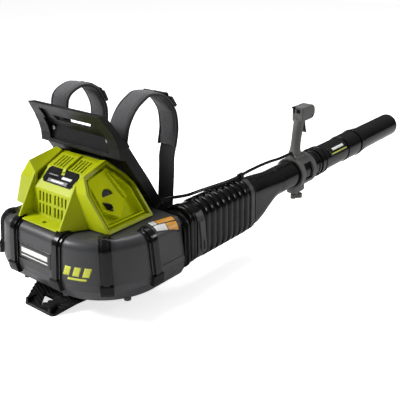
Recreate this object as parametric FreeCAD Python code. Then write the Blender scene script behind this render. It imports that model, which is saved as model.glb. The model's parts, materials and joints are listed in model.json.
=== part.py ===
"""Backpack leaf blower, standing on its base.

Frame: millimetres, +Z up, +X to the wearer's right, +Y forwards, the way the air leaves.
The origin is on the floor in the plane that divides the machine into right and left. The scroll
housing lies flat, its fan turns about a vertical axis, the motor stands on top of it under a cowl,
and the back frame leans over the cowl.
"""
import FreeCAD
import Part
import os
from math import atan2, cos, degrees, hypot, pi, radians, sin, tan

V = FreeCAD.Vector
GAP = 0.3                      # clearance between neighbouring mouldings
RUN = 0.05                     # radial clearance of a running fit
FIT = 0.08                     # radial clearance between a tube's spigot and its socket

# Scroll housing: plan outline as (x, y, corner radius), anticlockwise
SCROLL_PLAN = [(-178, -188, 75), (250, -188, 175), (250, 130, 40), (-178, 130, 110)]
FRONT_Y = 90                   # front wall, where the outlet opens
BOTTOM_Z = 60
BELLY_Z = 92                   # widest level of the lower shell
SEAM_Z = 108
TOP_Z = 217
DRAFT = 11                     # how far the upper wall leans in over its height
TOP_ROUND = 27
WALL = 3.0
EYE_R = 62                     # air inlet under the fan
MOTOR_HOLE_R = 54
AXIS_Y = -40                   # the fan and motor turn about a vertical line at this Y

# Duct: bellows and blow tube
DUCT_X = 212
TUBE_Z = 173
TUBE_R = 41.0
TUBE_WALL = 2.0
SOCKET_STEP = 1.2              # spigots are this much smaller than the tube they end
NOZZLE_R = 39.5
DUCT_HALF_W = 45.5
DUCT_BOTTOM = 76
DUCT_TOP_REAR = 238
DUCT_TOP_FRONT = 228
COLLAR_Y = 97
CLAMP_Y = 128                  # flat clamp strap on the rear cuff
RIBS_Y = 163                   # first corrugation
RIB_PITCH = 24
RIB_COUNT = 8
BELLOWS_END = 376
REDUCER_START = 372
REDUCER_END = 525
JOINT_1_Y = 742                # main tube to middle tube
JOINT_2_Y = 1000               # middle tube to nozzle
NOZZLE_END = 1275
YAW_Y = 206                    # bellows bend sideways about this line, where two lengths of cable meet
PITCH_Y = 300                  # and up and down about this one

# Back frame: a straight slab that leans back over the cowl
LEAN = 32
FRAME_FOOT_Y = 262             # front edge where it meets the floor
FRAME_THICK = 28
FRAME_TOP_Z = 486
FOOT_GAP = 5                   # rubber pads hold the frame this far off the floor
HANDLE_HALF = 126

# Cowl and battery bays
BAY_LEAN = 30                  # bay mouths lean in by this much from vertical
BAY_MOUTH = 262                # distance of the mouth planes from the origin
MATE_DEPTH = 20                # how deep the bay floor sits

# Control handle
GRIP_Y = 640
GRIP_TOP_Y = 657
HEAD_Y = 684.5
HEAD_Z = 351
HEAD_SIZE = (38, 73, 44)
PULL_PIVOT = (676, 338)        # trigger pivot as (y, z)

SHAFT_R = 4.0
SCREW_R = 2.4
FAN_R = 115
CAN_R = 46                     # motor housing
CAN_TOP = 288
MOUNT_R = 70                   # plate that carries the motor on the housing


# ---------------------------------------------------------------- helpers

def box(x0, x1, y0, y1, z0, z1):
    return Part.makeBox(x1 - x0, y1 - y0, z1 - z0, V(x0, y0, z0))


def rod(radius, start, end):
    start, end = V(*start), V(*end)
    return Part.makeCylinder(radius, (end - start).Length, start, end - start)


def ring(outer, inner, start, end):
    """A tube with flat ends; the bore runs a little past both."""
    axis = (V(*end) - V(*start)).normalize() * 0.5
    bore = rod(inner, V(*start) - axis, V(*end) + axis)
    return rod(outer, start, end).cut(bore)


def fuse(shapes):
    result = shapes[0]
    if len(shapes) > 1:
        result = result.fuse(shapes[1:])
    return result.removeSplitter()


def group(shapes):
    solids = []
    for shape in shapes:
        solids.extend(shape.Solids)
    return Part.makeCompound(solids)


def mirrored(shape):
    return shape.mirror(V(0, 0, 0), V(1, 0, 0))


def turned(shape, angle, centre=(0, 0, 0), axis=(0, 0, 1)):
    copy = shape.copy()
    copy.rotate(V(*centre), V(*axis), angle)
    return copy


def on_axis(shape):
    """Move a piece drawn about the origin onto the fan's axis."""
    return shape.translated(V(0, AXIS_Y, 0))


def face_of(points):
    points = [V(*p) for p in points]
    return Part.Face(Part.makePolygon(points + points[:1]))


def prism_x(yz_points, x0, x1):
    """A side profile in Y and Z, carried from x0 to x1."""
    return face_of([(x0, y, z) for y, z in yz_points]).extrude(V(x1 - x0, 0, 0))


def polyhedron(points, faces):
    shell = Part.makeShell([face_of([points[i] for i in face]) for face in faces])
    solid = Part.makeSolid(shell)
    if solid.Volume < 0:
        solid.reverse()
    return solid


def rounded_loop(corners):
    """Straight edges and corner arcs from plan corners (x, y, radius), as lists of 2-D points."""
    count = len(corners)
    pieces = []
    for i, (x, y, radius) in enumerate(corners):
        before, after = corners[i - 1], corners[(i + 1) % count]
        u = V(before[0] - x, before[1] - y, 0).normalize()
        w = V(after[0] - x, after[1] - y, 0).normalize()
        half = u.getAngle(w) / 2
        corner = V(x, y, 0)
        start = corner + u * (radius / tan(half))
        end = corner + w * (radius / tan(half))
        middle = corner + (u + w).normalize() * (radius / sin(half) - radius)
        pieces.append((start, middle, end))
    return pieces


def inset_corners(corners, inset):
    """Plan corners moved in by the same distance from every edge; radii shrink with them."""
    count = len(corners)
    lines = []
    for i, (x, y, _) in enumerate(corners):
        nx, ny, _ = corners[(i + 1) % count]
        length = hypot(nx - x, ny - y)
        normal = (-(ny - y) / length, (nx - x) / length)
        lines.append((normal, normal[0] * x + normal[1] * y + inset))
    moved = []
    for i, (_, _, radius) in enumerate(corners):
        (a, b), p = lines[i - 1]
        (c, d), q = lines[i]
        det = a * d - b * c
        moved.append(((p * d - b * q) / det, (a * q - p * c) / det, max(radius - inset, 0.5)))
    return moved


def loop_wire(corners, place):
    """A rounded loop as a wire; place turns its 2-D points into 3-D ones."""
    edges = []
    pieces = rounded_loop(corners)
    for i, (start, middle, end) in enumerate(pieces):
        edges.append(Part.Arc(place(start), place(middle), place(end)).toShape())
        following = pieces[(i + 1) % len(pieces)][0]
        if (following - end).Length > 1e-4:
            edges.append(Part.makeLine(place(end), place(following)))
    return Part.Wire(edges)


def plan_wire(corners, inset, z):
    return loop_wire(inset_corners(corners, inset), lambda p: V(p.x, p.y, z))


def duct_wire(half_w, bottom, top, radius, y, x=DUCT_X):
    """A duct section at y: a rectangle with round corners, seen along the tube."""
    corners = [(x - half_w, bottom, radius), (x + half_w, bottom, radius),
               (x + half_w, top, radius), (x - half_w, top, radius)]
    return loop_wire(corners, lambda p: V(p.x, y, p.y))


def duct_block(half_w, bottom, top, y0, y1, radius=None):
    radius = radius if radius else half_w - 2
    face = Part.Face(duct_wire(half_w, bottom, top, radius, y0))
    return face.extrude(V(0, y1 - y0, 0))


def swept(points, radius):
    """A round cable or wire through the given points."""
    curve = Part.BSplineCurve()
    curve.interpolate([V(*p) for p in points])
    start, heading = curve.value(curve.FirstParameter), curve.tangent(curve.FirstParameter)[0]
    profile = Part.Wire(Part.makeCircle(radius, start, heading))
    return Part.Wire(curve.toShape()).makePipeShell([profile], True, True)


# ---------------------------------------------------------------- scroll housing

def upper_form(grow):
    """The upper housing as a solid block, grown or shrunk by the same amount all round."""
    block = Part.makeLoft([plan_wire(SCROLL_PLAN, -grow, SEAM_Z),
                           plan_wire(SCROLL_PLAN, DRAFT - grow, TOP_Z + grow)], True)
    top_edges = [e for e in block.Edges if abs(e.BoundBox.ZMin - TOP_Z - grow) < 0.01]
    return block.makeFillet(TOP_ROUND + grow, top_edges)


def lower_form(grow):
    belly = Part.makeLoft([plan_wire(SCROLL_PLAN, 3 - grow, BELLY_Z),
                           plan_wire(SCROLL_PLAN, -grow, SEAM_Z)], True)
    keel = Part.makeLoft([plan_wire(SCROLL_PLAN, 22 - grow, BOTTOM_Z - grow),
                          plan_wire(SCROLL_PLAN, 3 - grow, BELLY_Z)], True)
    rising = prism_y([(-95, 40), (-210, 40), (-210, 125)], -250, 200)
    rising.translate(V(0, 0, -grow))
    return fuse([belly, keel]).cut(rising)


def prism_y(xz_points, y0, y1):
    return face_of([(x, y0, z) for x, z in xz_points]).extrude(V(0, y1 - y0, 0))


def behind(y):
    return box(-400, 400, -400, y, -50, 400)


def housing_shell(form):
    """The thin shell between the outside form and the scroll passage, open at the outlet."""
    shell = form(0).common(behind(FRONT_Y))
    passage = form(-WALL).common(behind(FRONT_Y - WALL))
    cutoff = box(154, 158, 25, FRONT_Y, 0, 300)
    shell = shell.cut(passage.cut(cutoff))
    return shell.cut(outlet_hole())


def outlet_hole():
    return duct_block(40, 80, 205, FRONT_Y - 8, FRONT_Y + 10, 24)


def volute_upper():
    shell = housing_shell(upper_form)
    shell = shell.cut(on_axis(rod(MOTOR_HOLE_R, (0, 0, TOP_Z - 20), (0, 0, TOP_Z + 5))))
    panel = box(249, 260, -2, 78, 122, 180)
    groove = panel.cut(box(240, 270, 4, 72, 128, 174))
    groove.translate(V(-2.2, 0, 0))
    return shell.cut(groove)


def volute_lower():
    shell = housing_shell(lower_form)
    shell = shell.cut(on_axis(rod(EYE_R + 3 + GAP, (0, 0, BOTTOM_Z - 5), (0, 0, BOTTOM_Z + 10))))
    bosses = [rod(9, (x, y, BOTTOM_Z - 8), (x, y, BOTTOM_Z)) for x, y in BOSSES]
    return fuse([shell] + bosses)


BOSSES = [(205, 8), (70, -155), (-82, -155), (205, -80)]


def band_stations():
    """Where the hold-down bands cross the wall: foot point, outward heading, level of the clip's foot."""
    return [(-80, -188, -90, 84), (80, -188, -90, 84), (199, -137, -45, 84), (250, -22, 0, 84),
            (-156, -166, -135, 110)]


CLIP_HEIGHT = 27.5


def slab(station, half_width, reach_in, z0, z1):
    x, y, heading, _ = station
    block = box(-reach_in, 20, -half_width, half_width, z0, z1)
    block.rotate(V(0, 0, 0), V(0, 0, 1), heading)
    block.translate(V(x, y, 0))
    return block


def volute_bands():
    """Bands over the upper shell: a flat strap with a rounded spine."""
    near = upper_form(GAP)
    strap, spine = upper_form(4).cut(near), upper_form(8).cut(near)
    bands = []
    for station in band_stations():
        low, top = station[3] + CLIP_HEIGHT + GAP, TOP_Z + 20
        wide = strap.common(slab(station, 15, 44, low, top))
        narrow = spine.common(slab(station, 7.5, 42, low, top))
        bands.append(fuse([wide, narrow]).common(behind(FRONT_Y)))
    return group(bands)


def band_clips():
    """Clip blocks that hook each band under the lower shell's belly."""
    near = fuse([upper_form(GAP), lower_form(GAP)])
    thick = fuse([upper_form(11), lower_form(11)]).cut(near)
    clips = []
    for station in band_stations():
        foot = station[3]
        clips.append(thick.common(slab(station, 16, 20, foot, foot + CLIP_HEIGHT)))
    return group(clips)


def intake_guard():
    """Bell of the air inlet with its protective bars, moulded in one piece."""
    floor = BOTTOM_Z + WALL + GAP
    low, neck_end = BOTTOM_Z - 12, BOTTOM_Z - 8
    flange = ring(EYE_R + 14, EYE_R - 2, (0, 0, floor), (0, 0, BOTTOM_Z + 7))
    neck = ring(EYE_R + 3, EYE_R, (0, 0, low), (0, 0, BOTTOM_Z + 7))
    disc = rod(EYE_R + 1, (0, 0, low), (0, 0, neck_end))
    bars = [box(-EYE_R - 1, EYE_R + 1, y - 1, y + 1, low, neck_end) for y in range(-54, 60, 12)]
    bars.append(box(-1.5, 1.5, -EYE_R - 1, EYE_R + 1, low, neck_end))
    return fuse([flange, neck] + [bar.common(disc) for bar in bars])


# ---------------------------------------------------------------- fan and motor

def fan_impeller():
    z0, z1 = 76, 150
    back = rod(FAN_R, (0, 0, z1), (0, 0, z1 + 3))
    shroud = ring(FAN_R, EYE_R + 6, (0, 0, z0), (0, 0, z0 + 2.5))
    hub = rod(15, (0, 0, z0 + 20), (0, 0, z1 + 24))
    blade = box(EYE_R + 2, FAN_R - 1, -1.3, 1.3, z0 + 1, z1 + 1)
    blade = turned(blade, 32, (FAN_R - 1, 0, 0))
    limit = rod(FAN_R, (0, 0, z0), (0, 0, z1 + 3))
    blades = [turned(blade, i * 360 / 12).common(limit) for i in range(12)]
    body = fuse([back, shroud, hub] + blades)
    return body.cut(rod(SHAFT_R + RUN / 2, (0, 0, 60), (0, 0, 200)))


def motor_shaft():
    return rod(SHAFT_R, (0, 0, 84), (0, 0, CAN_TOP + 4))


def impeller_nut():
    sides = [(9 * cos(i * pi / 3), 9 * sin(i * pi / 3), 88) for i in range(6)]
    nut = face_of(sides).extrude(V(0, 0, 7.5))
    return nut.cut(rod(SHAFT_R + RUN / 2, (0, 0, 80), (0, 0, 100)))


def motor_mount():
    disc = rod(MOUNT_R, (0, 0, TOP_Z + GAP), (0, 0, TOP_Z + 6))
    seat = rod(18, (0, 0, TOP_Z - 4), (0, 0, TOP_Z + 9))
    mount = fuse([disc, seat]).cut(rod(11 + RUN, (0, 0, TOP_Z), (0, 0, TOP_Z + 12)))
    mount = mount.cut(rod(7, (0, 0, TOP_Z - 10), (0, 0, TOP_Z + 12)))
    for i in range(4):
        hole = rod(SCREW_R + 0.2, (MOUNT_R - 8, 0, 200), (MOUNT_R - 8, 0, 230))
        mount = mount.cut(turned(hole, 45 + 90 * i))
    return mount


def screw(shank_end, head_start, heading):
    """A pan-head screw: shank, and a head with a driver recess."""
    heading = V(*heading)
    shank_end, head_start = V(*shank_end), V(*head_start)
    shank = rod(SCREW_R, shank_end, head_start + heading * 0.5)
    head = rod(5, head_start, head_start + heading * 3)
    return fuse([shank, head]).cut(rod(2, head_start + heading * 1.4, head_start + heading * 4))


def body_screws():
    """Four screws hold the motor mount, two hold the visor of the frame."""
    reach = MOUNT_R - 8
    mount = screw((reach, 0, TOP_Z + 0.8), (reach, 0, TOP_Z + 6 + RUN), (0, 0, 1))
    screws = [on_axis(turned(mount, 45 + 90 * i)) for i in range(4)]
    screws += [screw((x, y + 6.5, z), (x, y - RUN, z), (0, -1, 0)) for x, y, z in FRAME_SCREWS]
    return group(screws)


def bearing(z):
    return ring(11, SHAFT_R + RUN, (0, 0, z), (0, 0, z + 7))


def motor_can():
    z0, z1 = TOP_Z + 6 + GAP, CAN_TOP
    can = rod(CAN_R, (0, 0, z0), (0, 0, z1)).cut(rod(CAN_R - 2.7, (0, 0, z0 - 1), (0, 0, z1 - 8.2)))
    can = can.cut(rod(11 + RUN, (0, 0, z1 - 7.1), (0, 0, z1 + 1)))
    can = can.cut(rod(7, (0, 0, z1 - 12), (0, 0, z1 + 1)))
    for i in range(8):
        window = box(34, 50, -7, 7, z0 + 14, z0 + 42)
        can = can.cut(turned(window, 22.5 + i * 45))
    return can


def motor_stator():
    z0, z1 = 232, 272
    yoke = ring(CAN_R - 3, CAN_R - 10, (0, 0, z0), (0, 0, z1))
    teeth = []
    for i in range(12):
        tooth = fuse([box(25, 37, -3, 3, z0, z1), box(23.5, 26, -5, 5, z0, z1)])
        teeth.append(turned(tooth, i * 30))
    return fuse([yoke] + teeth)


def motor_windings():
    coils = []
    for i in range(12):
        coil = box(27, 35.5, -5.4, 5.4, 229.5, 274.5).cut(box(20, 40, -3.2, 3.2, 231.8, 272.2))
        coils.append(turned(coil, i * 30))
    return group(coils)


def motor_rotor():
    core = rod(21, (0, 0, 233), (0, 0, 271))
    return core.cut(rod(SHAFT_R + RUN / 2, (0, 0, 220), (0, 0, 280)))


def rotor_magnets():
    arcs = ring(22.6, 21.05, (0, 0, 234), (0, 0, 270))
    for i in range(8):
        arcs = arcs.cut(turned(box(15, 30, -0.6, 0.6, 220, 280), i * 45))
    return group([arcs])


def controller_board():
    """Circuit board on four posts over the motor, with its capacitors and a power module."""
    z = CAN_TOP + 8
    parts = [box(-42, 42, -42, 12, z, z + 2), box(-34, 30, -34, -18, z + 2, z + 12)]
    parts += [rod(6, (x, -2, z + 2), (x, -2, z + 20)) for x in (-26, -10, 6)]
    parts += [rod(2.5, (x, y, CAN_TOP + GAP), (x, y, z)) for x in (-30, 30) for y in (-24, 4)]
    return fuse(parts)


# ---------------------------------------------------------------- cowl and battery bays

RIM = [(-111, 310), (-98, 220.3), (52, 220.3), (39, 300), (25, 322), (-17, 366), (-98, 349)]
ROOT = [(-107, 306), (-107, 220.3), (54, 220.3), (39, 304), (24, 328), (-17, 361), (-106, 323)]
SPINE = [(-122, 220.3), (55, 220.3), (23, 320), (-3, 355), (-18, 355), (-67, 335),
         (-97, 309), (-113, 291)]


def rim_x(z, depth=0):
    """X of the tilted bay mouth at height z, on a plane that lies depth behind it."""
    lean = radians(BAY_LEAN)
    return (BAY_MOUTH - depth - z * sin(lean)) / cos(lean)


def inset_polygon(points, inset):
    moved = inset_corners([(y, z, 0) for y, z in points], inset)
    return [(y, z) for y, z, _ in moved]


def pod_loft(inner_x, inset, depth):
    """A block from a section near the middle out to the tilted mouth plane."""
    inner = [(inner_x, y, z) for y, z in inset_polygon(ROOT, inset)]
    outer = [(rim_x(z, depth), y, z) for y, z in inset_polygon(RIM, inset)]
    wires = [Part.makePolygon([V(*p) for p in loop + loop[:1]]) for loop in (inner, outer)]
    return Part.makeLoft(wires, True, True)


def buttress():
    """The triangular fin beside the slotted rear face."""
    a, b = (78, -105, 324), (73, -105, 324)
    c, d = (78, -165, 226), (73, -165, 226)
    e, f = (112, -105, 220.3), (73, -105, 220.3)
    g, h = (78, -160, 220.3), (73, -160, 220.3)
    points = [a, b, c, d, e, f, g, h]
    faces = [(0, 1, 3, 2), (1, 5, 7, 3), (2, 3, 7, 6), (0, 2, 4), (2, 6, 4), (4, 6, 7, 5), (0, 4, 5, 1)]
    return polyhedron(points, faces)


def rear_slots():
    cutters = []
    for row in range(2):
        z0 = 229 + row * 31
        for side in (-1, 1):
            for i in range(4):
                x = side * (9 + i * 13)
                cutters.append(box(x - 2.9, x + 2.9, -140, -100, z0, z0 + 24))
    return cutters


def top_vents():
    """Two groups of slots that run up the cowl's sloping crown."""
    cutters = []
    for side in (-1, 1):
        for i in range(4):
            x = side * (17 + i * 11)
            cutters.append(box(x - 2.3, x + 2.3, -62, -24, 320, 370))
    return cutters


def motor_cowl():
    middle = prism_x(SPINE, -74, 74)
    hollow = prism_x(inset_polygon(SPINE, 3.5), -70.5, 70.5)
    open_base = box(-70.5, 70.5, -116, 48, 210, 226)
    crown_line = [(-92, 305), (-18, 355), (-14, 355), (-14, 359), (-19, 359.5), (-62, 343), (-70, 338)]
    crown_rib = prism_x(crown_line, -5, 5)
    pods, pockets, fins = [], [], []
    for flip in (False, True):
        for shape, target in ((pod_loft(70, 0, 0), pods), (pod_loft(64, 6.5, -8), pockets),
                              (buttress(), fins)):
            target.append(mirrored(shape) if flip else shape)
    floor = box(-74, 74, -164, -121, 220.3, 223.8)
    pocket = fuse(pockets)
    outside = fuse([middle] + pods)
    cowl = outside.cut(pocket).cut(hollow).cut(open_base)
    for sign in (-1, 1):
        foot = box(min(sign * 60, sign * 200), max(sign * 60, sign * 200), -88, 42, 215, 228)
        cowl = cowl.cut(foot.common(pocket))
    cowl = fuse([cowl, crown_rib.cut(hollow), floor] + fins)
    for cutter in rear_slots() + top_vents():
        cowl = cowl.cut(cutter)
    latch = rod(6, (0, -146, 215), (0, -146, 230))
    for station in band_stations():
        cowl = cowl.cut(slab(station, 15.5, 46, 200, TOP_Z + 8.5))
    return cowl.cut(latch).cut(badge_plate(GAP))


def badge_plate(grow):
    """An eight-sided plate on the slope below the vents, notched for the crown rib."""
    slope = atan2(26, 30)
    half, long, low = 56 + grow, 36 + grow, -8 - grow
    outline = [(-half + 8, low), (half - 8, low), (half, low + 9), (half, long - 8), (half - 6, long),
               (-half + 6, long), (-half, long - 8), (-half, low + 9)]
    plate = face_of([(x, y, -grow) for x, y in outline]).extrude(V(0, 0, 2.2 + grow))
    notch = box(-8, 8, 20, 60, -5, 10)
    if grow == 0:
        plate = plate.cut(notch)
    plate.rotate(V(0, 0, 0), V(1, 0, 0), degrees(slope))
    plate.translate(V(0, -94, 311))
    return plate


def bay_block(points, depth_out, depth_in):
    """A block square to the bay mouth: points are (y, z) on the mouth, depths run inwards."""
    lean = radians(BAY_LEAN)
    inward = V(-cos(lean), 0, -sin(lean))
    outer = [V(rim_x(z), y, z) + inward * depth_out for y, z in points]
    return Part.Face(Part.makePolygon(outer + outer[:1])).extrude(inward * (depth_in - depth_out))


MATE_FACE = [(-86, 333), (-80, 270), (-40, 244), (-6, 270), (-2, 334), (-22, 350), (-84, 341)]


def battery_bay():
    """A tray that closes the pod: floor, raised mating pad with two rails, and a deep end recess."""
    pocket = pod_loft(64, 6.5 + GAP, -8)
    floor = bay_block(inset_polygon(RIM, -30), MATE_DEPTH + 6, MATE_DEPTH + 10)
    wall = bay_block(inset_polygon(RIM, 14), MATE_DEPTH - 14, MATE_DEPTH + 7)
    wall = wall.cut(bay_block(inset_polygon(RIM, 17), MATE_DEPTH - 20, MATE_DEPTH + 6))
    pad = bay_block(MATE_FACE, MATE_DEPTH - 12, MATE_DEPTH + 7)
    tray = fuse([floor, pad, wall])
    for offset in (0, 13):
        top_y, low_y = -30 + offset, -8 + offset
        slot = [(top_y, 342), (low_y, 276), (low_y + 4, 276), (top_y + 4, 342)]
        tray = tray.cut(bay_block(slot, MATE_DEPTH - 30, MATE_DEPTH - 3))
    ridge = [(-24.5, 341), (-3, 278), (3, 278), (-18.5, 341)]
    rail = bay_block(ridge, MATE_DEPTH - 15, MATE_DEPTH - 11.9)
    tray = tray.cut(latch_opening(MATE_DEPTH - 30, MATE_DEPTH - 4))
    return fuse([tray, rail]).common(pocket)


def latch_opening(depth_out, depth_in, shrink=0):
    """A half-disc opening for the battery's latch, with its round side up."""
    centre_y, centre_z, radius = -48, 296, 19 - shrink
    steps = 12
    angles = [pi * i / steps for i in range(steps + 1)]
    points = [(centre_y + 0.9 * radius * cos(a), centre_z + 0.8 * radius * sin(a)) for a in angles]
    return bay_block(points, depth_out, depth_in)


def latch_keeper():
    return latch_opening(MATE_DEPTH - 8, MATE_DEPTH - 4 - GAP, GAP)


TERMINAL_FACE = [(-72, 286), (-68, 270), (-54, 262), (-54, 278)]


def terminal_block():
    """Contact block beside the pad: a base with three blades."""
    base = bay_block(TERMINAL_FACE, MATE_DEPTH - 17, MATE_DEPTH - 12 - GAP)
    blades = []
    for i in range(3):
        y, z = -69 + 5 * i, 277 - 2.5 * i
        blade = [(y, z - 4), (y + 1.2, z - 4.6), (y + 1.2, z + 3.4), (y, z + 4)]
        blades.append(bay_block(blade, MATE_DEPTH - 25, MATE_DEPTH - 16))
    return fuse([base] + blades)


# ---------------------------------------------------------------- outlet, bellows and blow tube

def duct_top(y):
    """Top of the bellows, which sinks a little towards the tube."""
    share = (y - COLLAR_Y) / (BELLOWS_END - COLLAR_Y)
    return DUCT_TOP_REAR + (DUCT_TOP_FRONT - DUCT_TOP_REAR) * share


def hose_collar_rear():
    flange = duct_block(44, DUCT_BOTTOM, 222, FRONT_Y + GAP, COLLAR_Y, 30)
    spigot = duct_block(40 - GAP, 80 + GAP, 205 - GAP, FRONT_Y - 8, FRONT_Y + 1, 24 - GAP)
    neck = duct_block(39, DUCT_BOTTOM + 6, 226, COLLAR_Y - 1, 156)
    bore = duct_block(36, 84, 200, FRONT_Y - 10, 160, 22)
    return fuse([flange, spigot, neck]).cut(bore)


def hose_bellows():
    """Rear cuff with two beads, eight corrugations and a front cuff, over a thin sleeve."""
    solid = [duct_block(42, DUCT_BOTTOM + 3, 229.5, COLLAR_Y + GAP, BELLOWS_END - 2)]
    for y in (102, 114):
        solid.append(duct_block(DUCT_HALF_W, DUCT_BOTTOM - 1, duct_top(y), y, y + 9))
    for i in range(RIB_COUNT):
        y = RIBS_Y + i * RIB_PITCH
        solid.append(duct_block(DUCT_HALF_W, DUCT_BOTTOM, duct_top(y), y, y + 14))
    rear_bore = duct_block(39 + GAP, DUCT_BOTTOM + 6 - GAP, 226 + GAP, COLLAR_Y - 1, 157)
    front_bore = duct_block(39 + GAP, 84 - GAP, 221 + GAP, 338, BELLOWS_END + 5)
    middle = duct_block(38, 86, 219, 150, 345)
    return fuse(solid).cut(fuse([rear_bore, middle, front_bore]))


def hose_clamp_rear():
    """Flat strap round the rear cuff, with a tongue down the outer side that ends in a loop."""
    y0, y1 = CLAMP_Y, CLAMP_Y + 26
    strap = duct_block(44.4, DUCT_BOTTOM + 0.6, 231.9, y0, y1)
    strap = strap.cut(duct_block(42 + GAP, DUCT_BOTTOM + 3 - GAP, 229.5 + GAP, y0 - 1, y1 + 1))
    x0 = DUCT_X + 44.4 + 1.4
    tongue = face_of([(x0, y0 + 3, 196), (x0, y1 - 3, 196), (x0, y1 + 1, 148), (x0, y0 + 9, 148)])
    loop = [(x0, y0 + 9, 149), (x0, y1 + 1, 149), (x0, y1 + 3, 112), (x0, y1 - 2, 105),
            (x0, y0 + 14, 107), (x0, y0 + 9, 120)]
    hole = [(x0 - 1, y0 + 13, 141), (x0 - 1, y1 - 4, 141), (x0 - 1, y1 - 2, 115), (x0 - 1, y0 + 16, 113)]
    plates = [tongue.extrude(V(2.2, 0, 0)), face_of(loop).extrude(V(2.2, 0, 0))]
    bridge = box(x0 - 1.6, x0 + 0.5, y0 + 4, y1 - 4, 186, 195)
    shape = fuse([strap, bridge] + plates)
    return shape.cut(face_of(hole).extrude(V(5, 0, 0)))


def hose_clamp_front():
    y0, y1 = 357, 373
    strap = duct_block(44.5, DUCT_BOTTOM + 0.4, 232, y0, y1)
    return strap.cut(duct_block(42 + GAP, DUCT_BOTTOM + 3 - GAP, 229.5 + GAP, y0 - 1, y1 + 1))


def reducer(grow):
    """From the tall duct section to the round tube, with an eased taper."""
    wires = []
    steps = 6
    start = REDUCER_START + 8
    radius = TUBE_R - 0.6
    for i in range(steps + 1):
        share = i / steps
        ease = (1 - cos(pi * share)) / 2
        half = 43 + (radius - 43) * ease + grow
        bottom = 80 + (TUBE_Z - radius - 80) * ease - grow
        top = 225 + (TUBE_Z + radius - 225) * ease + grow
        wires.append(duct_wire(half, bottom, top, half - 0.2, start + share * (REDUCER_END - start)))
    return Part.makeLoft(wires, True, False)


def tube_rod(radius, y0, y1):
    return rod(radius, (DUCT_X, y0, TUBE_Z), (DUCT_X, y1, TUBE_Z))


def tube_ring(outer, inner, y0, y1):
    return ring(outer, inner, (DUCT_X, y0, TUBE_Z), (DUCT_X, y1, TUBE_Z))


def main_tube():
    outside = fuse([reducer(0), tube_rod(TUBE_R, REDUCER_END - 0.5, JOINT_1_Y - 4)])
    collar = duct_block(44, 79.5, 229, BELLOWS_END + 1, REDUCER_START + 9, 41)
    cuff = duct_block(39, 84, 221, 340, BELLOWS_END + 2)
    bore = [reducer(-TUBE_WALL), tube_rod(TUBE_R - TUBE_WALL, REDUCER_END - 0.5, JOINT_1_Y - 14),
            tube_rod(TUBE_R - 4.6, JOINT_1_Y - 15, JOINT_1_Y + 60),
            duct_block(37, 86, 219, 338, REDUCER_START + 9)]
    spigot = tube_rod(TUBE_R - SOCKET_STEP - FIT, JOINT_1_Y - 5, JOINT_1_Y + 34)
    bead = tube_rod(TUBE_R + 2.2, JOINT_1_Y - 14, JOINT_1_Y - 5)
    tube = fuse([outside, collar, cuff, spigot, bead])
    for cutter in bore:
        tube = tube.cut(cutter)
    for seat_y in (JOINT_1_Y + 8, JOINT_1_Y + 22):
        tube = tube.cut(tube_ring(TUBE_R, TUBE_R - 2.4, seat_y, seat_y + 3))
    return tube


def tube_seals():
    outer, inner = TUBE_R - SOCKET_STEP - FIT / 2, TUBE_R - 2.4 + RUN
    seals = [tube_ring(outer, inner, JOINT_1_Y + y + 0.2, JOINT_1_Y + y + 2.8) for y in (8, 22)]
    return group(seals)


def middle_tube():
    """Bell socket with beads at the rear, a shoulder and a spigot at the front."""
    bell = tube_rod(TUBE_R + 2.6, JOINT_1_Y, JOINT_1_Y + 38)
    beads = [tube_rod(TUBE_R + 5, JOINT_1_Y, JOINT_1_Y + 6),
             tube_rod(TUBE_R + 4.4, JOINT_1_Y + 26, JOINT_1_Y + 34)]
    body = tube_rod(TUBE_R, JOINT_1_Y + 36, JOINT_2_Y - 5)
    shoulder = tube_rod(TUBE_R + 2.4, JOINT_2_Y - 86, JOINT_2_Y - 6)
    spigot = tube_rod(NOZZLE_R - SOCKET_STEP - FIT, JOINT_2_Y - 6, JOINT_2_Y + 34)
    tube = fuse([bell, body, shoulder, spigot] + beads)
    socket = tube_rod(TUBE_R - SOCKET_STEP, JOINT_1_Y - 1, JOINT_1_Y + 36)
    bore = fuse([tube_rod(TUBE_R - TUBE_WALL, JOINT_1_Y + 30, JOINT_2_Y - 14),
                 tube_rod(NOZZLE_R - 3.4, JOINT_2_Y - 15, JOINT_2_Y + 60)])
    return tube.cut(socket).cut(bore)


def nozzle_tube():
    bell = tube_rod(NOZZLE_R + 3, JOINT_2_Y, JOINT_2_Y + 36)
    bead = tube_rod(NOZZLE_R + 6, JOINT_2_Y, JOINT_2_Y + 8)
    body = tube_rod(NOZZLE_R, JOINT_2_Y + 30, NOZZLE_END)
    tube = fuse([bell, bead, body]).cut(tube_rod(NOZZLE_R - 2, JOINT_2_Y + 30, NOZZLE_END + 5))
    return tube.cut(tube_rod(NOZZLE_R - SOCKET_STEP, JOINT_2_Y - 1, JOINT_2_Y + 36))


# ---------------------------------------------------------------- control handle

def grip_liner():
    return tube_ring(TUBE_R + 2.5, TUBE_R + RUN, GRIP_Y - 28, GRIP_Y + 58)


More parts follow.
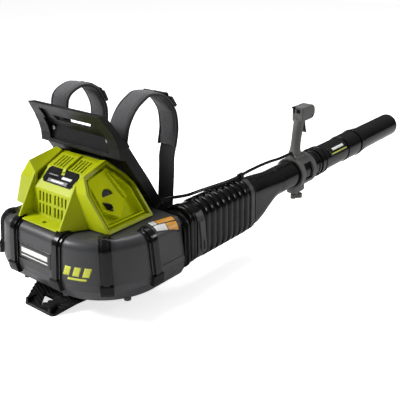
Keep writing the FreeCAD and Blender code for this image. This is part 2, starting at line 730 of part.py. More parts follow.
def collar_block():
    """Two rings with a saddle on top and a clamping block below."""
    y0, y1 = GRIP_Y - 26, GRIP_Y + 56
    outer = tube_rod(TUBE_R + 8, y0, y1)
    saddle = box(DUCT_X - 19, DUCT_X + 19, y0 + 4, y1 - 22, TUBE_Z + 30, TUBE_Z + TUBE_R + 17)
    saddle = saddle.makeFillet(8, [e for e in saddle.Edges if e.BoundBox.ZMin > TUBE_Z + TUBE_R + 16])
    block = box(DUCT_X - 15, DUCT_X + 15, y0 + 14, y1 - 16, TUBE_Z - TUBE_R - 30, TUBE_Z - 30)
    block = block.makeFillet(5, [e for e in block.Edges if e.BoundBox.ZMax < TUBE_Z - TUBE_R - 25])
    shape = fuse([outer, saddle, block])
    window = box(DUCT_X - 80, DUCT_X + 80, y0 + 20, y1 - 20, TUBE_Z - 20, TUBE_Z + 32)
    return shape.cut(tube_rod(TUBE_R + 2.5 + RUN, y0 - 5, y1 + 5)).cut(window)


def bolt_line(radius, z0, z1):
    return rod(radius, (DUCT_X, GRIP_Y + 14, z0), (DUCT_X, GRIP_Y + 14, z1))


def clamp_upper():
    upper = collar_block().common(box(100, 320, 500, 800, TUBE_Z + GAP / 2, 400))
    return upper.cut(grip_tang(GAP))


def clamp_lower():
    lower = collar_block().common(box(100, 320, 500, 800, 0, TUBE_Z - GAP / 2))
    slot = box(DUCT_X - 60, DUCT_X + 60, GRIP_Y - 27, GRIP_Y + 60, TUBE_Z - 6, TUBE_Z + 1)
    lower = lower.cut(slot.cut(tube_rod(TUBE_R + 9, 500, 800)))
    head_seat = bolt_line(7.5, TUBE_Z - TUBE_R - 9, TUBE_Z)
    return lower.cut(bolt_line(4 + RUN, 60, TUBE_Z - TUBE_R)).cut(head_seat)


def clamp_bolt():
    head = bolt_line(7, TUBE_Z - TUBE_R - 8.6, TUBE_Z - TUBE_R - 3.4)
    return fuse([head, bolt_line(4, 86, TUBE_Z - TUBE_R - 5)])


def clamp_knob():
    """Three-lobed knob under the clamping block."""
    z0, z1 = 84, 101.5
    lobes = [rod(9, (DUCT_X + 12 * cos(a), GRIP_Y + 14 + 12 * sin(a), z0),
                 (DUCT_X + 12 * cos(a), GRIP_Y + 14 + 12 * sin(a), z1 - 4)) for a in (0.5, 2.594, 4.689)]
    body = fuse([bolt_line(12, z0, z1)] + lobes)
    return body.cut(bolt_line(4 + RUN, z0 - 5, z1 + 5))


def oval_wire(centre_y, z, half_x, half_y):
    ellipse = Part.Ellipse(V(DUCT_X, centre_y, z), max(half_x, half_y), min(half_x, half_y))
    edge = ellipse.toShape()
    if half_y > half_x:
        edge.rotate(V(DUCT_X, centre_y, z), V(0, 0, 1), 90)
    return Part.Wire(edge)


def grip_column(grow):
    """The hand grip: a waisted oval column that leans slightly forwards."""
    stations = [(0, 228, 19, 25), (0.16, 244, 16, 18), (0.45, 275, 14.5, 16), (0.8, 305, 15, 17),
                (1, 334, 16, 12)]
    wires = []
    for share, z, half_x, half_y in stations:
        centre = GRIP_Y + (GRIP_TOP_Y - GRIP_Y) * share
        wires.append(oval_wire(centre, z, half_x + grow, half_y + grow))
    return Part.makeLoft(wires, True, False)


def grip_tang(grow):
    return box(DUCT_X - 9 - grow, DUCT_X + 9 + grow, GRIP_Y - 10 - grow, GRIP_Y + 12 + grow,
               TUBE_Z + TUBE_R + 8 - grow, TUBE_Z + TUBE_R + 30)


def head_block(grow):
    sx, sy, sz = HEAD_SIZE
    reach_x, reach_y, reach_z = sx / 2 + grow, sy / 2 + grow, sz / 2 + grow
    block = box(DUCT_X - reach_x, DUCT_X + reach_x, HEAD_Y - reach_y, HEAD_Y + reach_y,
                HEAD_Z - reach_z, HEAD_Z + reach_z)
    front = [e for e in block.Edges
             if e.BoundBox.YMin > HEAD_Y + sy / 2 + grow - 0.01 and e.BoundBox.XLength > 10]
    block = block.makeFillet(20 + grow, front)
    sides = [e for e in block.Edges if e.BoundBox.XLength < 0.01]
    return block.makeFillet(5 + grow, sides)


def handle_body():
    """Hand grip and head as one hollow moulding, before it is split along the tube's plane."""
    outside = fuse([grip_column(0), head_block(0)])
    wire_way = box(DUCT_X - 9, DUCT_X + 9, 654, 665, 320, 340)
    column_hollow = grip_column(-2.6).common(box(0, 400, 0, 900, 236, 330))
    inside = fuse([column_hollow, wire_way, head_block(-2.6)])
    trigger_slot = box(DUCT_X - 8.6, DUCT_X + 8.6, 668, 688, 318, 345)
    lever_slot = box(DUCT_X - 15, DUCT_X - 8.5, 642, 663, 352, 380)
    button_hole = box(DUCT_X - 3, DUCT_X + 9, 642, 655, 355, 367)
    body = outside.cut(inside)
    body = body.cut(collar_block()).common(box(0, 400, 0, 900, TUBE_Z + TUBE_R + 17 + GAP, 500))
    body = fuse([body, grip_tang(0).common(box(0, 400, 0, 900, 0, 240))])
    pin = rod(5, (DUCT_X - 18, *PULL_PIVOT), (DUCT_X + 18, *PULL_PIVOT)).cut(
        box(DUCT_X - 9.5, DUCT_X + 9.5, 600, 800, 300, 400))
    body = fuse([body, pin.common(outside)])
    body = body.cut(rod(2 + RUN, (DUCT_X - 16, *PULL_PIVOT), (DUCT_X + 16, *PULL_PIVOT)))
    for cutter in (trigger_slot, lever_slot, button_hole):
        body = body.cut(cutter)
    return body


def grip_half(side):
    half = box(DUCT_X + GAP / 2, DUCT_X + 60, 500, 800, 200, 450)
    if side < 0:
        half = box(DUCT_X - 60, DUCT_X - GAP / 2, 500, 800, 200, 450)
    half_shell = handle_body().common(half)
    for y, z in GRIP_SCREWS:
        bore = rod(1.6, (DUCT_X - 30, y, z), (DUCT_X + 30, y, z))
        head_seat = rod(3.2, (DUCT_X + 8, y, z), (DUCT_X + 30, y, z))
        half_shell = half_shell.cut(bore).cut(head_seat)
    return half_shell


GRIP_SCREWS = [(703, 338), (648, 262)]


def grip_screws():
    screws = []
    for (y, z), reach in zip(GRIP_SCREWS, (17.5, 13)):
        shank = rod(1.5, (DUCT_X - reach + 1, y, z), (DUCT_X + reach - 2, y, z))
        screws.append(fuse([shank, rod(3, (DUCT_X + reach - 2.5, y, z), (DUCT_X + reach - 0.8, y, z))]))
    return group(screws)


def trigger():
    """A thin hooked blade in front of the grip, on a boss inside the head."""
    py, pz = PULL_PIVOT
    back = [(-4, -3), (-1, -14), (5, -28), (9, -44), (15, -52)]
    front = [(18, -51), (15, -45), (10.5, -29), (7, -14), (6, -2)]
    blade = prism_x([(py + y, pz + z) for y, z in back + front], DUCT_X - 7, DUCT_X + 7)
    boss = rod(6, (DUCT_X - 7, py, pz), (DUCT_X + 7, py, pz))
    return fuse([blade, boss]).cut(rod(2 + RUN, (DUCT_X - 10, py, pz), (DUCT_X + 10, py, pz)))


def trigger_pin():
    return rod(2, (DUCT_X - 15, *PULL_PIVOT), (DUCT_X + 15, *PULL_PIVOT))


def trigger_spring():
    """Leaf spring between the switch and the trigger's boss."""
    leaf = [(701, 353.3), (690, 353.3), (683.4, 346.4), (683.7, 346.1), (690.2, 352.8), (701, 352.8)]
    return prism_x(leaf, DUCT_X - 4, DUCT_X + 4)


def speed_switch():
    body = box(DUCT_X - 8, DUCT_X + 8, 684, 708, 353.6, 364)
    leads = [rod(1, (DUCT_X + x, 704, 346), (DUCT_X + x, 704, 354)) for x in (-4, 0, 4)]
    return fuse([body] + leads)


CRUISE_PIVOT = (661, 360)


def cruise_lever():
    y, z = CRUISE_PIVOT
    side = [(2, -3), (-14, 4), (-24, 12), (-22, 15.5), (-10, 9), (2, 3)]
    arm = prism_x([(y + dy, z + dz) for dy, dz in side], DUCT_X - 13.6, DUCT_X - 9.9)
    boss = rod(3.6, (DUCT_X - 13.6, y, z), (DUCT_X - 9.9, y, z))
    stub = rod(1.5, (DUCT_X - 16.2, y, z), (DUCT_X - 6, y, z))
    return fuse([arm, boss, stub])


def turbo_button():
    back = HEAD_Y - HEAD_SIZE[1] / 2 - 2.8
    cap = box(DUCT_X - 2.6, DUCT_X + 8.6, back, back + 6.8, 355.4, 366.6)
    return cap.makeFillet(1, [e for e in cap.Edges if e.BoundBox.YMax < back + 0.1])


# ---------------------------------------------------------------- base, frame and harness

def front_line(z):
    """Y of the frame's front surface at height z."""
    return FRAME_FOOT_Y - z * tan(radians(LEAN))


def rear_line(z):
    return front_line(z) - FRAME_THICK / cos(radians(LEAN))


def back_frame():
    top = FRAME_TOP_Z
    side = [(front_line(FOOT_GAP), FOOT_GAP), (front_line(top), top), (front_line(top) - 22, top + 3),
            (-40, 452), (-27, 425), (-20, 400), (-20, 376), (rear_line(371), 371), (rear_line(40), 40),
            (rear_line(40), FOOT_GAP)]
    slab_shape = prism_x(side, -150, 150)
    low, knee, wide = 118, 138, 146
    right = [(low, 0), (knee, 180), (wide, 300), (wide - 2, 400), (wide - 6, 440), (HANDLE_HALF, 492)]
    plan = right + [(-x, z) for x, z in right[::-1]]
    front_view = face_of([(x, -200, z) for x, z in plan]).extrude(V(0, 600, 0))
    frame = slab_shape.common(front_view)
    recess_line = [(rear_line(360) - 60, 382), (-13, 386), (-10, 420), (-26, 444), (-90, 444)]
    recess = prism_x(recess_line, -108, 108)
    visor_half = HANDLE_HALF - 26
    visor = prism_x([(-80, 444), (-27, 444), (-47, 474), (-100, 474)], -visor_half, visor_half)
    opening = prism_x([(-120, 440), (80, 440), (80, 455), (-120, 455)], -70, 70)
    channel = prism_x([(rear_line(20) - 5, 20), (rear_line(20) + 21, 20), (rear_line(352) + 21, 352),
                       (rear_line(352) - 5, 352)], -108, 108)
    duct_side = box(150, 400, 0, 400, 0, 250)
    frame = frame.cut(channel).cut(opening).cut(recess).cut(visor).cut(duct_side)
    for x, y, z in FRAME_SCREWS:
        frame = frame.cut(rod(SCREW_R + 0.2, (x, y - 30, z), (x, y + 7, z)))
    return frame


FRAME_SCREWS = [(-98, -11.5, 414), (98, -11.5, 414)]


def base_plate():
    """The rear foot slopes down to the floor, two runners follow it, and posts carry the housing."""
    front = rear_line(40) - GAP
    right = [(50, -195), (56, -189), (80, -135), (84, -100), (84, 60), (112, 120), (112, front)]
    outline = right + [(-x, y) for x, y in right[::-1]]
    footprint = face_of([(x, y, -5) for x, y in outline]).extrude(V(0, 0, 80))
    profile = [(-195, 0), (-187, 0), (-135, 18), (120, 18), (130, 6), (front, 6), (front, 26), (-135, 26),
               (-192, 6), (-195, 4)]
    plate = prism_x(profile, -120, 120).common(footprint)
    posts = [rod(13, (x, y, 20), (x, y, BOTTOM_Z - GAP)) for x in (-66, 66) for y in (-118, 72)]
    ties = [box(x - 4, x + 4, -118, 72, 20, 44) for x in (-66, 66)]
    runners = [box(x - 4, x + 4, -194, 60, 0, 19) for x in (-44, 44)]
    inlet = on_axis(rod(50, (0, 0, 12), (0, 0, 40)))
    shape = fuse([plate.cut(inlet)] + posts + ties + runners)
    hole = face_of([(-25, -152, -5), (19, -152, -5), (-3, -184, -5)]).extrude(V(0, 0, 60))
    return fuse([shape] + foot_ribs(footprint)).cut(hole)


def foot_ribs(footprint):
    """Chevron ribs on the sloping foot."""
    ribs = []
    slope = atan2(20, 57)
    for i in range(7):
        y0 = -187 + i * 9
        arms = [face_of([(0, y0, 0), (side * 90, y0 + 34, 0), (side * 90, y0 + 38, 0), (0, y0 + 4, 0)])
                for side in (-1, 1)]
        for arm in arms:
            rib = arm.extrude(V(0, 0, 5))
            rib.rotate(V(0, -192, 0), V(1, 0, 0), degrees(slope))
            rib.translate(V(0, 0, 4))
            ribs.append(rib.common(footprint).common(box(-100, 100, -200, -132, -5, 60)))
    return ribs


def rubber_feet():
    """Round pads under the front corners of the frame."""
    y = front_line(0) - 28
    return group([rod(11, (x, y, 0), (x, y, FOOT_GAP - GAP)) for x in (-94, 94)])


def back_pad():
    """Foam pad on the wearer's side of the frame."""
    return prism_x([(front_line(120) + 1, 120), (front_line(400) + 1, 400), (front_line(400) + 22, 404),
                    (front_line(120) + 22, 116)], -72, 72)


STRAP_X = 100
PAD_HALF = 33
PAD_THICK = 12
WEB_HALF = 27
# Side view of each strap as (y, z): the right one stands open, the left one hangs closer
RIGHT_PAD = [(20, 414), (30, 446), (54, 478), (84, 497), (112, 505), (158, 492), (194, 450), (202, 400),
             (192, 352)]
RIGHT_WEB = [(190.5, 346), (186, 300), (181, 240), (178, 190), (175, 172)]
LEFT_PAD = [(20, 414), (12, 450), (20, 488), (50, 506), (84, 508), (120, 488), (144, 440), (142, 392),
            (134, 352)]
LEFT_WEB = [(133, 346), (142, 300), (158, 240), (170, 190), (175, 172)]


def strap_curve(path):
    curve = Part.BSplineCurve()
    curve.interpolate([V(0, y, z) for y, z in path])
    return curve


def ribbon(path, thickness, x0, x1):
    """A strap of even thickness that follows a side-view path."""
    curve = strap_curve(path)
    steps = 24
    upper, lower = [], []
    for i in range(steps + 1):
        u = curve.FirstParameter + (curve.LastParameter - curve.FirstParameter) * i / steps
        point, heading = curve.value(u), curve.tangent(u)[0]
        normal = V(0, -heading.z, heading.y) * (thickness / 2)
        upper.append(point + normal)
        lower.append(point - normal)
    sides = []
    for points in (upper, lower[::-1]):
        side = Part.BSplineCurve()
        side.interpolate(points)
        sides.append(side.toShape())
    ends = [Part.makeLine(upper[-1], lower[-1]), Part.makeLine(lower[0], upper[0])]
    face = Part.Face(Part.Wire([sides[0], ends[0], sides[1], ends[1]]))
    solid = face.extrude(V(x1 - x0, 0, 0))
    solid.translate(V(x0, 0, 0))
    return solid


def shoulder_pad(path, x):
    return ribbon(path, PAD_THICK, x - PAD_HALF, x + PAD_HALF)


def lower_straps():
    right = ribbon(RIGHT_WEB, 4, STRAP_X - WEB_HALF, STRAP_X + WEB_HALF)
    left = ribbon(LEFT_WEB, 4, -STRAP_X - WEB_HALF, -STRAP_X + WEB_HALF)
    return group([right, left])


def buckle(path, x):
    """A ladder lock that lies on the outside of a pad, over its front shoulder."""
    curve = strap_curve(path)
    u = curve.FirstParameter + 0.66 * (curve.LastParameter - curve.FirstParameter)
    point, heading = curve.value(u), curve.tangent(u)[0]
    lock = box(-27, 27, -15, 15, 0, 7)
    for y in (-10, 3):
        lock = lock.cut(box(-21, 21, y, y + 7, -1, 8))
    lock.rotate(V(0, 0, 0), V(1, 0, 0), degrees(atan2(heading.z, heading.y)))
    lock.translate(V(x, point.y, point.z) + V(0, -heading.z, heading.y) * (PAD_THICK / 2 + 2))
    return lock


def strap_buckles():
    return group([buckle(RIGHT_PAD, STRAP_X), buckle(LEFT_PAD, -STRAP_X)])


def anchor(z, reach, half_width):
    """A bracket on the frame's front at height z."""
    foot, head = front_line(z) + GAP, front_line(z + 16) + GAP
    side = [(foot, z), (head, z + 16), (head + reach, z + 14), (foot + reach - 2, z - 2)]
    return prism_x(side, STRAP_X - half_width, STRAP_X + half_width)


def strap_anchors():
    """Upper and lower brackets that hold the harness to the frame."""
    upper, lower = anchor(394, 18, WEB_HALF), anchor(150, 10, WEB_HALF)
    return group([upper, lower, mirrored(upper), mirrored(lower)])


# ---------------------------------------------------------------- control cable

CABLE_R = 4.5


def cable_rear():
    return swept([(150, 82, 224), (159, 94, 236), (171, 112, 243.6), (185, 140, 243.8), (195, 168, 243.5),
                  (200, YAW_Y - 1, 243.3)], CABLE_R)


def cable_middle():
    return swept([(200, YAW_Y, 243.3), (204, 240, 242.3), (208, 270, 241.3), (210, PITCH_Y - 1, 240.4)], CABLE_R)


def cable_front():
    return swept([(210, PITCH_Y, 240.4), (212, 330, 239.9), (212, 366, 240.3), (212, 410, 242.5),
                  (212, 465, 243)], CABLE_R)


def cable_grip():
    return swept([(212, 466, 243), (212, 510, 241), (212, 560, 237), (212, 606, 233)], CABLE_R)


def cable_clip():
    """A hoop on the front clamp that holds the cable."""
    line = [(212, 350, 240), (212, 380, 240.8)]
    hoop = ring(CABLE_R + 3, CABLE_R + GAP, (212, 358, 240.2), (212, 372, 240.6))
    base = box(205, 219, 359, 371, 232 + GAP, 237)
    return fuse([hoop, base]).cut(rod(CABLE_R + 2 * GAP, *line))


def power_leads():
    """Two wires from the back of each battery bay to the controller."""
    wires = []
    for sign in (-1, 1):
        for offset in (0, 5):
            wires.append(swept([(sign * 114, -62 + offset, 246), (sign * 92, -56 + offset, 258),
                                (sign * 64, -52 + offset, 288), (sign * 50, -52 + offset, 301),
                                (sign * 38, -52 + offset, 302)], 1.6))
    return group(wires)


# ---------------------------------------------------------------- write every node

def both(shape):
    return group([shape, mirrored(shape)])


def nodes():
    """Every piece by its node name."""
    return {
        "volute_upper": volute_upper(),
        "volute_lower": volute_lower(),
        "volute_bands": volute_bands(),
        "band_clips": band_clips(),
        "intake_guard": on_axis(intake_guard()),
        "fan_impeller": on_axis(fan_impeller()),
        "impeller_nut": on_axis(impeller_nut()),
        "motor_shaft": on_axis(motor_shaft()),
        "motor_rotor": on_axis(motor_rotor()),
        "rotor_magnets": on_axis(rotor_magnets()),
        "motor_mount": on_axis(motor_mount()),
        "motor_bearings": on_axis(group([bearing(TOP_Z + RUN), bearing(CAN_TOP - 7 - RUN)])),
        "motor_can": on_axis(motor_can()),
        "motor_stator": on_axis(motor_stator()),
        "motor_windings": on_axis(motor_windings()),
        "controller_board": on_axis(controller_board()),
        "power_leads": power_leads(),
        "body_screws": body_screws(),
        "motor_cowl": motor_cowl(),
        "cowl_badge": badge_plate(0),
        "battery_bay_right": battery_bay(),
        "battery_bay_left": mirrored(battery_bay()),
        "latch_keepers": both(latch_keeper()),
        "terminal_blocks": both(terminal_block()),
        "hose_collar_rear": hose_collar_rear(),
        "hose_bellows": hose_bellows(),
        "hose_clamp_rear": hose_clamp_rear(),
        "hose_clamp_front": hose_clamp_front(),
        "main_tube": main_tube(),
        "tube_seals": tube_seals(),
        "middle_tube": middle_tube(),
        "nozzle_tube": nozzle_tube(),
        "grip_liner": grip_liner(),
        "clamp_upper": clamp_upper(),
        "clamp_lower": clamp_lower(),
        "clamp_bolt": clamp_bolt(),
        "clamp_knob": clamp_knob(),
        "grip_shell_right": grip_half(1),
        "grip_shell_left": grip_half(-1),
        "grip_screws": grip_screws(),
        "trigger": trigger(),
        "trigger_pin": trigger_pin(),
        "trigger_spring": trigger_spring(),
        "speed_switch": speed_switch(),
        "cruise_lever": cruise_lever(),
        "turbo_button": turbo_button(),
        "back_frame": back_frame(),
        "base_plate": base_plate(),
        "rubber_feet": rubber_feet(),
        "back_pad": back_pad(),
        "shoulder_pad_right": shoulder_pad(RIGHT_PAD, STRAP_X),
        "shoulder_pad_left": shoulder_pad(LEFT_PAD, -STRAP_X),
        "lower_straps": lower_straps(),
        "strap_buckles": strap_buckles(),
        "strap_anchors": strap_anchors(),
        "cable_rear": cable_rear(),
        "cable_middle": cable_middle(),
        "cable_front": cable_front(),
        "cable_grip": cable_grip(),
        "cable_clip": cable_clip(),
    }


os.makedirs("parts", exist_ok=True)
for name, shape in nodes().items():
    shape.exportStep("parts/" + name + ".step")
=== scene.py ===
"""Looks for the backpack leaf blower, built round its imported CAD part.

Each CAD node keeps its shape and gets a procedural material. The hose, the cable, the shoulder pads,
the webbing and the back pad are built here, because they bend or are soft. Everything is in metres,
in the CAD's frame: +Z up, +Y the way the air leaves, +X the wearer's right.
"""
import json
from math import cos, pi, radians, sin
import bmesh
import bpy
from mathutils import Matrix, Vector
from mathutils.bvhtree import BVHTree


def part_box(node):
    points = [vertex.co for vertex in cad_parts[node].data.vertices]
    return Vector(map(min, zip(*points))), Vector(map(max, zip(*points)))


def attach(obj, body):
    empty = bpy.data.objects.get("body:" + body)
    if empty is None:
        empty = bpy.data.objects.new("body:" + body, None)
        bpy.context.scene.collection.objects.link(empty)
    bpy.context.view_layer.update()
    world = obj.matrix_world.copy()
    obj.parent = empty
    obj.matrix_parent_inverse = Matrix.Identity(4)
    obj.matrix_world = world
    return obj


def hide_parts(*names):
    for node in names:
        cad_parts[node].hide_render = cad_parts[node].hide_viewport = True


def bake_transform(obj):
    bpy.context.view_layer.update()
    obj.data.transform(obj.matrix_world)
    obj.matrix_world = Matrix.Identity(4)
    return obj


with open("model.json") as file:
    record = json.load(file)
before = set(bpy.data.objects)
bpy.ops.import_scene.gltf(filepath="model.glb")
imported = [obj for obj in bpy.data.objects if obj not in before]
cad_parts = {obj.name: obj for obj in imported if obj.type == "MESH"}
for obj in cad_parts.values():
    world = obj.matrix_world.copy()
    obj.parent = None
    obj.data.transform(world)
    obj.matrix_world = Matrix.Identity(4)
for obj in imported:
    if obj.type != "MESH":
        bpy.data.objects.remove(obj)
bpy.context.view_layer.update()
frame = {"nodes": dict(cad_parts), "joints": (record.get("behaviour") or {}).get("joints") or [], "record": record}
NODES = frame["nodes"]
JOINTS = {joint["name"]: joint for joint in frame["joints"]}

# The hose bends sideways about one joint, up and down about the other
YAW_Y = JOINTS["hose_yaw"]["pos_m"][1]
PITCH_Y = JOINTS["hose_pitch"]["pos_m"][1]
BEND_HALF = 0.046              # where the cable's middle length ends, this far in front of the pitch joint
HOSE_SPLIT = (YAW_Y + PITCH_Y) / 2

RIB_COUNT = 8
RIB_PITCH = 0.024
FIRST_RIB = 0.170
RIB_DEPTH = 0.0058
BEAD_STARTS = (0.1015, 0.1135) # two beads hold the hose on its collar
REAR_CUFF = (0.1270, 0.1560)   # the plain cuffs under the two clamps
FRONT_CUFF = (0.3520, 0.3735)
CUFF_DROP = 0.0036             # how far the plain cuffs lie below the ribs' crests

CABLE_R = 0.0045
CABLE_LIFT = 0.0008            # how far the cable stands off the hose
CABLE_LAP = 0.0014             # how far each length of cable runs past its ends
GRIP_LEAN = 0.58               # how far the grip's rear face runs forward for each metre up

# Harness
PAD_HALF = 0.033               # half the width of a shoulder pad
PAD_THICK = 0.0118
WEB_HALF = 0.0265
WEB_THIN = 0.0013              # half the thickness of the webbing between its ribbed edges
STITCH_PITCH = 0.0052
RAY_START = 0.05               # how far outside a CAD surface a print's rays start
PRINT_SINK = 0.0002            # how far a print's underside goes below that surface
BACK_ROWS = 36
BACK_THICK = 0.017
BACK_EDGE = 0.006
BACK_SEAMS = (0.2, 0.4, 0.6, 0.8)
SEAM_HALF = 0.009
SEAM_DEPTH = 0.0045
CLOTH_STEPS = 20
CLOTH_PRESSURE = 4.0
BUCKLE_SHARE = 0.69            # how far along its pad each buckle sits

# Camera, placed for the photograph's viewing angle
CAMERA_AT = (1.289, -1.094, 0.912)
CAMERA_AZIMUTH = 40.0
CAMERA_ELEVATION = 22.3
CAMERA_ROLL = 1.0
CAMERA_LENS = 63.0

ROOM_SIDE = 0.05               # how bright the room looks to the surfaces, level and overhead
ROOM_TOP = 0.34
FLOOR_GLOW = 0.74
FLOOR_HALF = 6.0


# ---------------------------------------------------------------- materials

def srgb(red, green, blue):
    """An 8-bit display colour as the linear colour that shaders take."""
    def channel(value):
        value /= 255
        return value / 12.92 if value <= 0.04045 else ((value + 0.055) / 1.055) ** 2.4
    return (channel(red), channel(green), channel(blue), 1.0)


def scaled(colour, factor):
    return tuple(min(c * factor, 1.0) for c in colour[:3]) + (1.0,)


class Graph:
    """A node material under construction."""

    def __init__(self, name):
        self.material = bpy.data.materials.new(name)
        self.material.use_nodes = True
        self.tree = self.material.node_tree
        self.shader = self.tree.nodes["Principled BSDF"]
        self.coords = self.node("ShaderNodeTexCoord").outputs["Object"]

    def node(self, kind, inputs=None, **settings):
        item = self.tree.nodes.new(kind)
        for key, value in settings.items():
            setattr(item, key, value)
        for key, value in (inputs or {}).items():
            self.put(item.inputs[key], value)
        return item

    def put(self, socket, value):
        if isinstance(value, bpy.types.NodeSocket):
            self.tree.links.new(value, socket)
        else:
            socket.default_value = value

    def math(self, operation, a, b=0.0):
        return self.node("ShaderNodeMath", {0: a, 1: b}, operation=operation).outputs[0]

    def noise(self, scale, detail=3.0, coords=None):
        inputs = {"Vector": coords or self.coords, "Scale": scale, "Detail": detail}
        return self.node("ShaderNodeTexNoise", inputs).outputs["Fac"]

    def remap(self, value, start, end, low=0.0, high=1.0):
        inputs = {"Value": value, "From Min": start, "From Max": end, "To Min": low, "To Max": high}
        return self.node("ShaderNodeMapRange", inputs).outputs["Result"]

    def mix(self, share, a, b):
        return self.node("ShaderNodeMix", {0: share, 6: a, 7: b}, data_type="RGBA").outputs[2]

    def stretched(self, x, y, z):
        return self.node("ShaderNodeMapping", {"Vector": self.coords, "Scale": (x, y, z)}).outputs[0]

    def bump(self, height, strength, distance, normal=None):
        inputs = {"Height": height, "Strength": strength, "Distance": distance}
        if normal is not None:
            inputs["Normal"] = normal
        return self.node("ShaderNodeBump", inputs).outputs[0]

    def soft_edges(self, radius):
        """A normal that rounds the edges, and how near a point is to an edge, from 0 to 1."""
        rounded = self.node("ShaderNodeBevel", {"Radius": radius}, samples=6).outputs[0]
        flat = self.node("ShaderNodeNewGeometry").outputs["Normal"]
        compare = self.node("ShaderNodeVectorMath", {0: rounded, 1: flat}, operation="DOT_PRODUCT")
        return rounded, self.remap(compare.outputs["Value"], 0.995, 0.88)

    def finish(self, **inputs):
        for key, value in inputs.items():
            self.put(self.shader.inputs[key.replace("_", " ")], value)
        return self.material


def moulded(name, colour, roughness, grain, edge, wear, variation, shine):
    """Moulded plastic: faint blotches, spark-eroded grain, uneven gloss and paler rubbed edges."""
    g = Graph(name)
    blotch = g.noise(11.0, 5.0)
    base = g.mix(g.remap(blotch, 0.3, 0.7), scaled(colour, 1 - variation), scaled(colour, 1 + variation))
    rounded, edges = g.soft_edges(edge)
    rubbed = g.math("MULTIPLY", edges, g.remap(g.noise(70.0, 4.0), 0.42, 0.62, 0.15, wear))
    pale = tuple(c * 0.75 + 0.16 for c in colour[:3]) + (1.0,)
    base = g.mix(rubbed, base, pale)
    gloss = g.remap(g.noise(26.0, 6.0), 0.3, 0.7, roughness - 0.05, roughness + 0.07)
    fine = g.math("ADD", g.noise(1500.0, 2.0), g.math("MULTIPLY", g.noise(5200.0, 1.0), 0.5))
    normal = g.bump(fine, grain, 0.00035, rounded)
    return g.finish(Base_Color=base, Roughness=gloss, Normal=normal, Specular_IOR_Level=shine)


def lime_plastic():
    return moulded("lime_plastic", srgb(176, 186, 2), roughness=0.42, grain=0.12, edge=0.0022, wear=0.22,
                   variation=0.05, shine=0.28)


def bay_lime_painted_fill():
    """The lime plastic of the battery bays, painted brighter than the cowl's lime to stand in for fill light, and
    less shiny.
    """
    return moulded("bay_lime_painted_fill", srgb(216, 226, 0), roughness=0.55, grain=0.12, edge=0.0016, wear=0.15,
                   variation=0.05, shine=0.08)


def grey_plastic():
    return moulded("grey_plastic", srgb(64, 64, 66), roughness=0.38, grain=0.16, edge=0.0016, wear=0.20,
                   variation=0.07, shine=0.33)


def black_gloss():
    return moulded("black_gloss", srgb(12, 12, 13), roughness=0.17, grain=0.05, edge=0.0014, wear=0.07,
                   variation=0.12, shine=0.30)


def black_satin():
    return moulded("black_satin", srgb(15, 15, 16), roughness=0.36, grain=0.22, edge=0.0013, wear=0.10,
                   variation=0.12, shine=0.17)


def grip_plastic():
    """Matte grip plastic with a pebbled surface."""
    g = Graph("dark_grey_soft")
    colour = srgb(92, 91, 90)
    rounded, edges = g.soft_edges(0.0018)
    base = g.mix(g.remap(g.noise(18.0, 5.0), 0.3, 0.7), scaled(colour, 0.9), scaled(colour, 1.1))
    base = g.mix(g.math("MULTIPLY", edges, 0.15), base, srgb(130, 129, 127))
    pebbles = g.node("ShaderNodeTexVoronoi", {"Vector": g.coords, "Scale": 900.0}).outputs["Distance"]
    return g.finish(Base_Color=base, Roughness=g.remap(g.noise(60.0), 0.3, 0.7, 0.52, 0.66),
                    Normal=g.bump(pebbles, 0.25, 0.0003, rounded))


def rubber_black():
    """Hose rubber: nearly black and glossy, with faint dust in random patches."""
    g = Graph("rubber_black")
    rounded, _ = g.soft_edges(0.0010)
    dusty = g.remap(g.noise(35.0, 6.0), 0.5, 0.75, 0.0, 0.07)
    base = g.mix(dusty, srgb(7, 7, 8), srgb(70, 68, 66))
    gloss = g.remap(g.noise(48.0, 5.0), 0.3, 0.7, 0.16, 0.28)
    return g.finish(Base_Color=base, Roughness=gloss, Specular_IOR_Level=0.25,
                    Normal=g.bump(g.noise(700.0, 3.0), 0.10, 0.0004, rounded))


def metal(name, colour, roughness, lines=(1.0, 1.0, 60.0)):
    """Bare metal with fine machining lines and slight tarnish."""
    g = Graph(name)
    streaks = g.noise(240.0, 3.0, g.stretched(*lines))
    base = g.mix(g.remap(g.noise(30.0, 5.0), 0.4, 0.7, 0.0, 0.35), colour, scaled(colour, 0.6))
    rounded, _ = g.soft_edges(0.0005)
    gloss = g.remap(streaks, 0.3, 0.7, roughness, roughness + 0.15)
    return g.finish(Base_Color=base, Metallic=1.0, Roughness=gloss,
                    Normal=g.bump(streaks, 0.12, 0.0001, rounded))


def copper_wire():
    """Wound wire: fine parallel turns."""
    g = Graph("copper_wire")
    turns = g.node("ShaderNodeTexWave", {"Vector": g.coords, "Scale": 420.0, "Distortion": 0.4},
                   bands_direction="Z").outputs["Fac"]
    # Painted light: the colour darkens in the grooves between turns and lightens on their crests, following the
    # bump.
    base = g.mix(turns, srgb(120, 52, 22), srgb(196, 106, 56))
    return g.finish(Base_Color=base, Metallic=0.9, Roughness=0.34, Normal=g.bump(turns, 0.6, 0.0003))


def circuit_green():
    """Lacquered circuit board with faint tracks."""
    g = Graph("circuit_green")
    cells = g.node("ShaderNodeTexVoronoi", {"Vector": g.coords, "Scale": 260.0}, distance="CHEBYCHEV")
    tracks = g.remap(cells.outputs["Distance"], 0.30, 0.34)
    return g.finish(Base_Color=g.mix(tracks, srgb(10, 74, 38), srgb(20, 104, 54)), Roughness=0.3,
                    Normal=g.bump(tracks, 0.3, 0.0002))


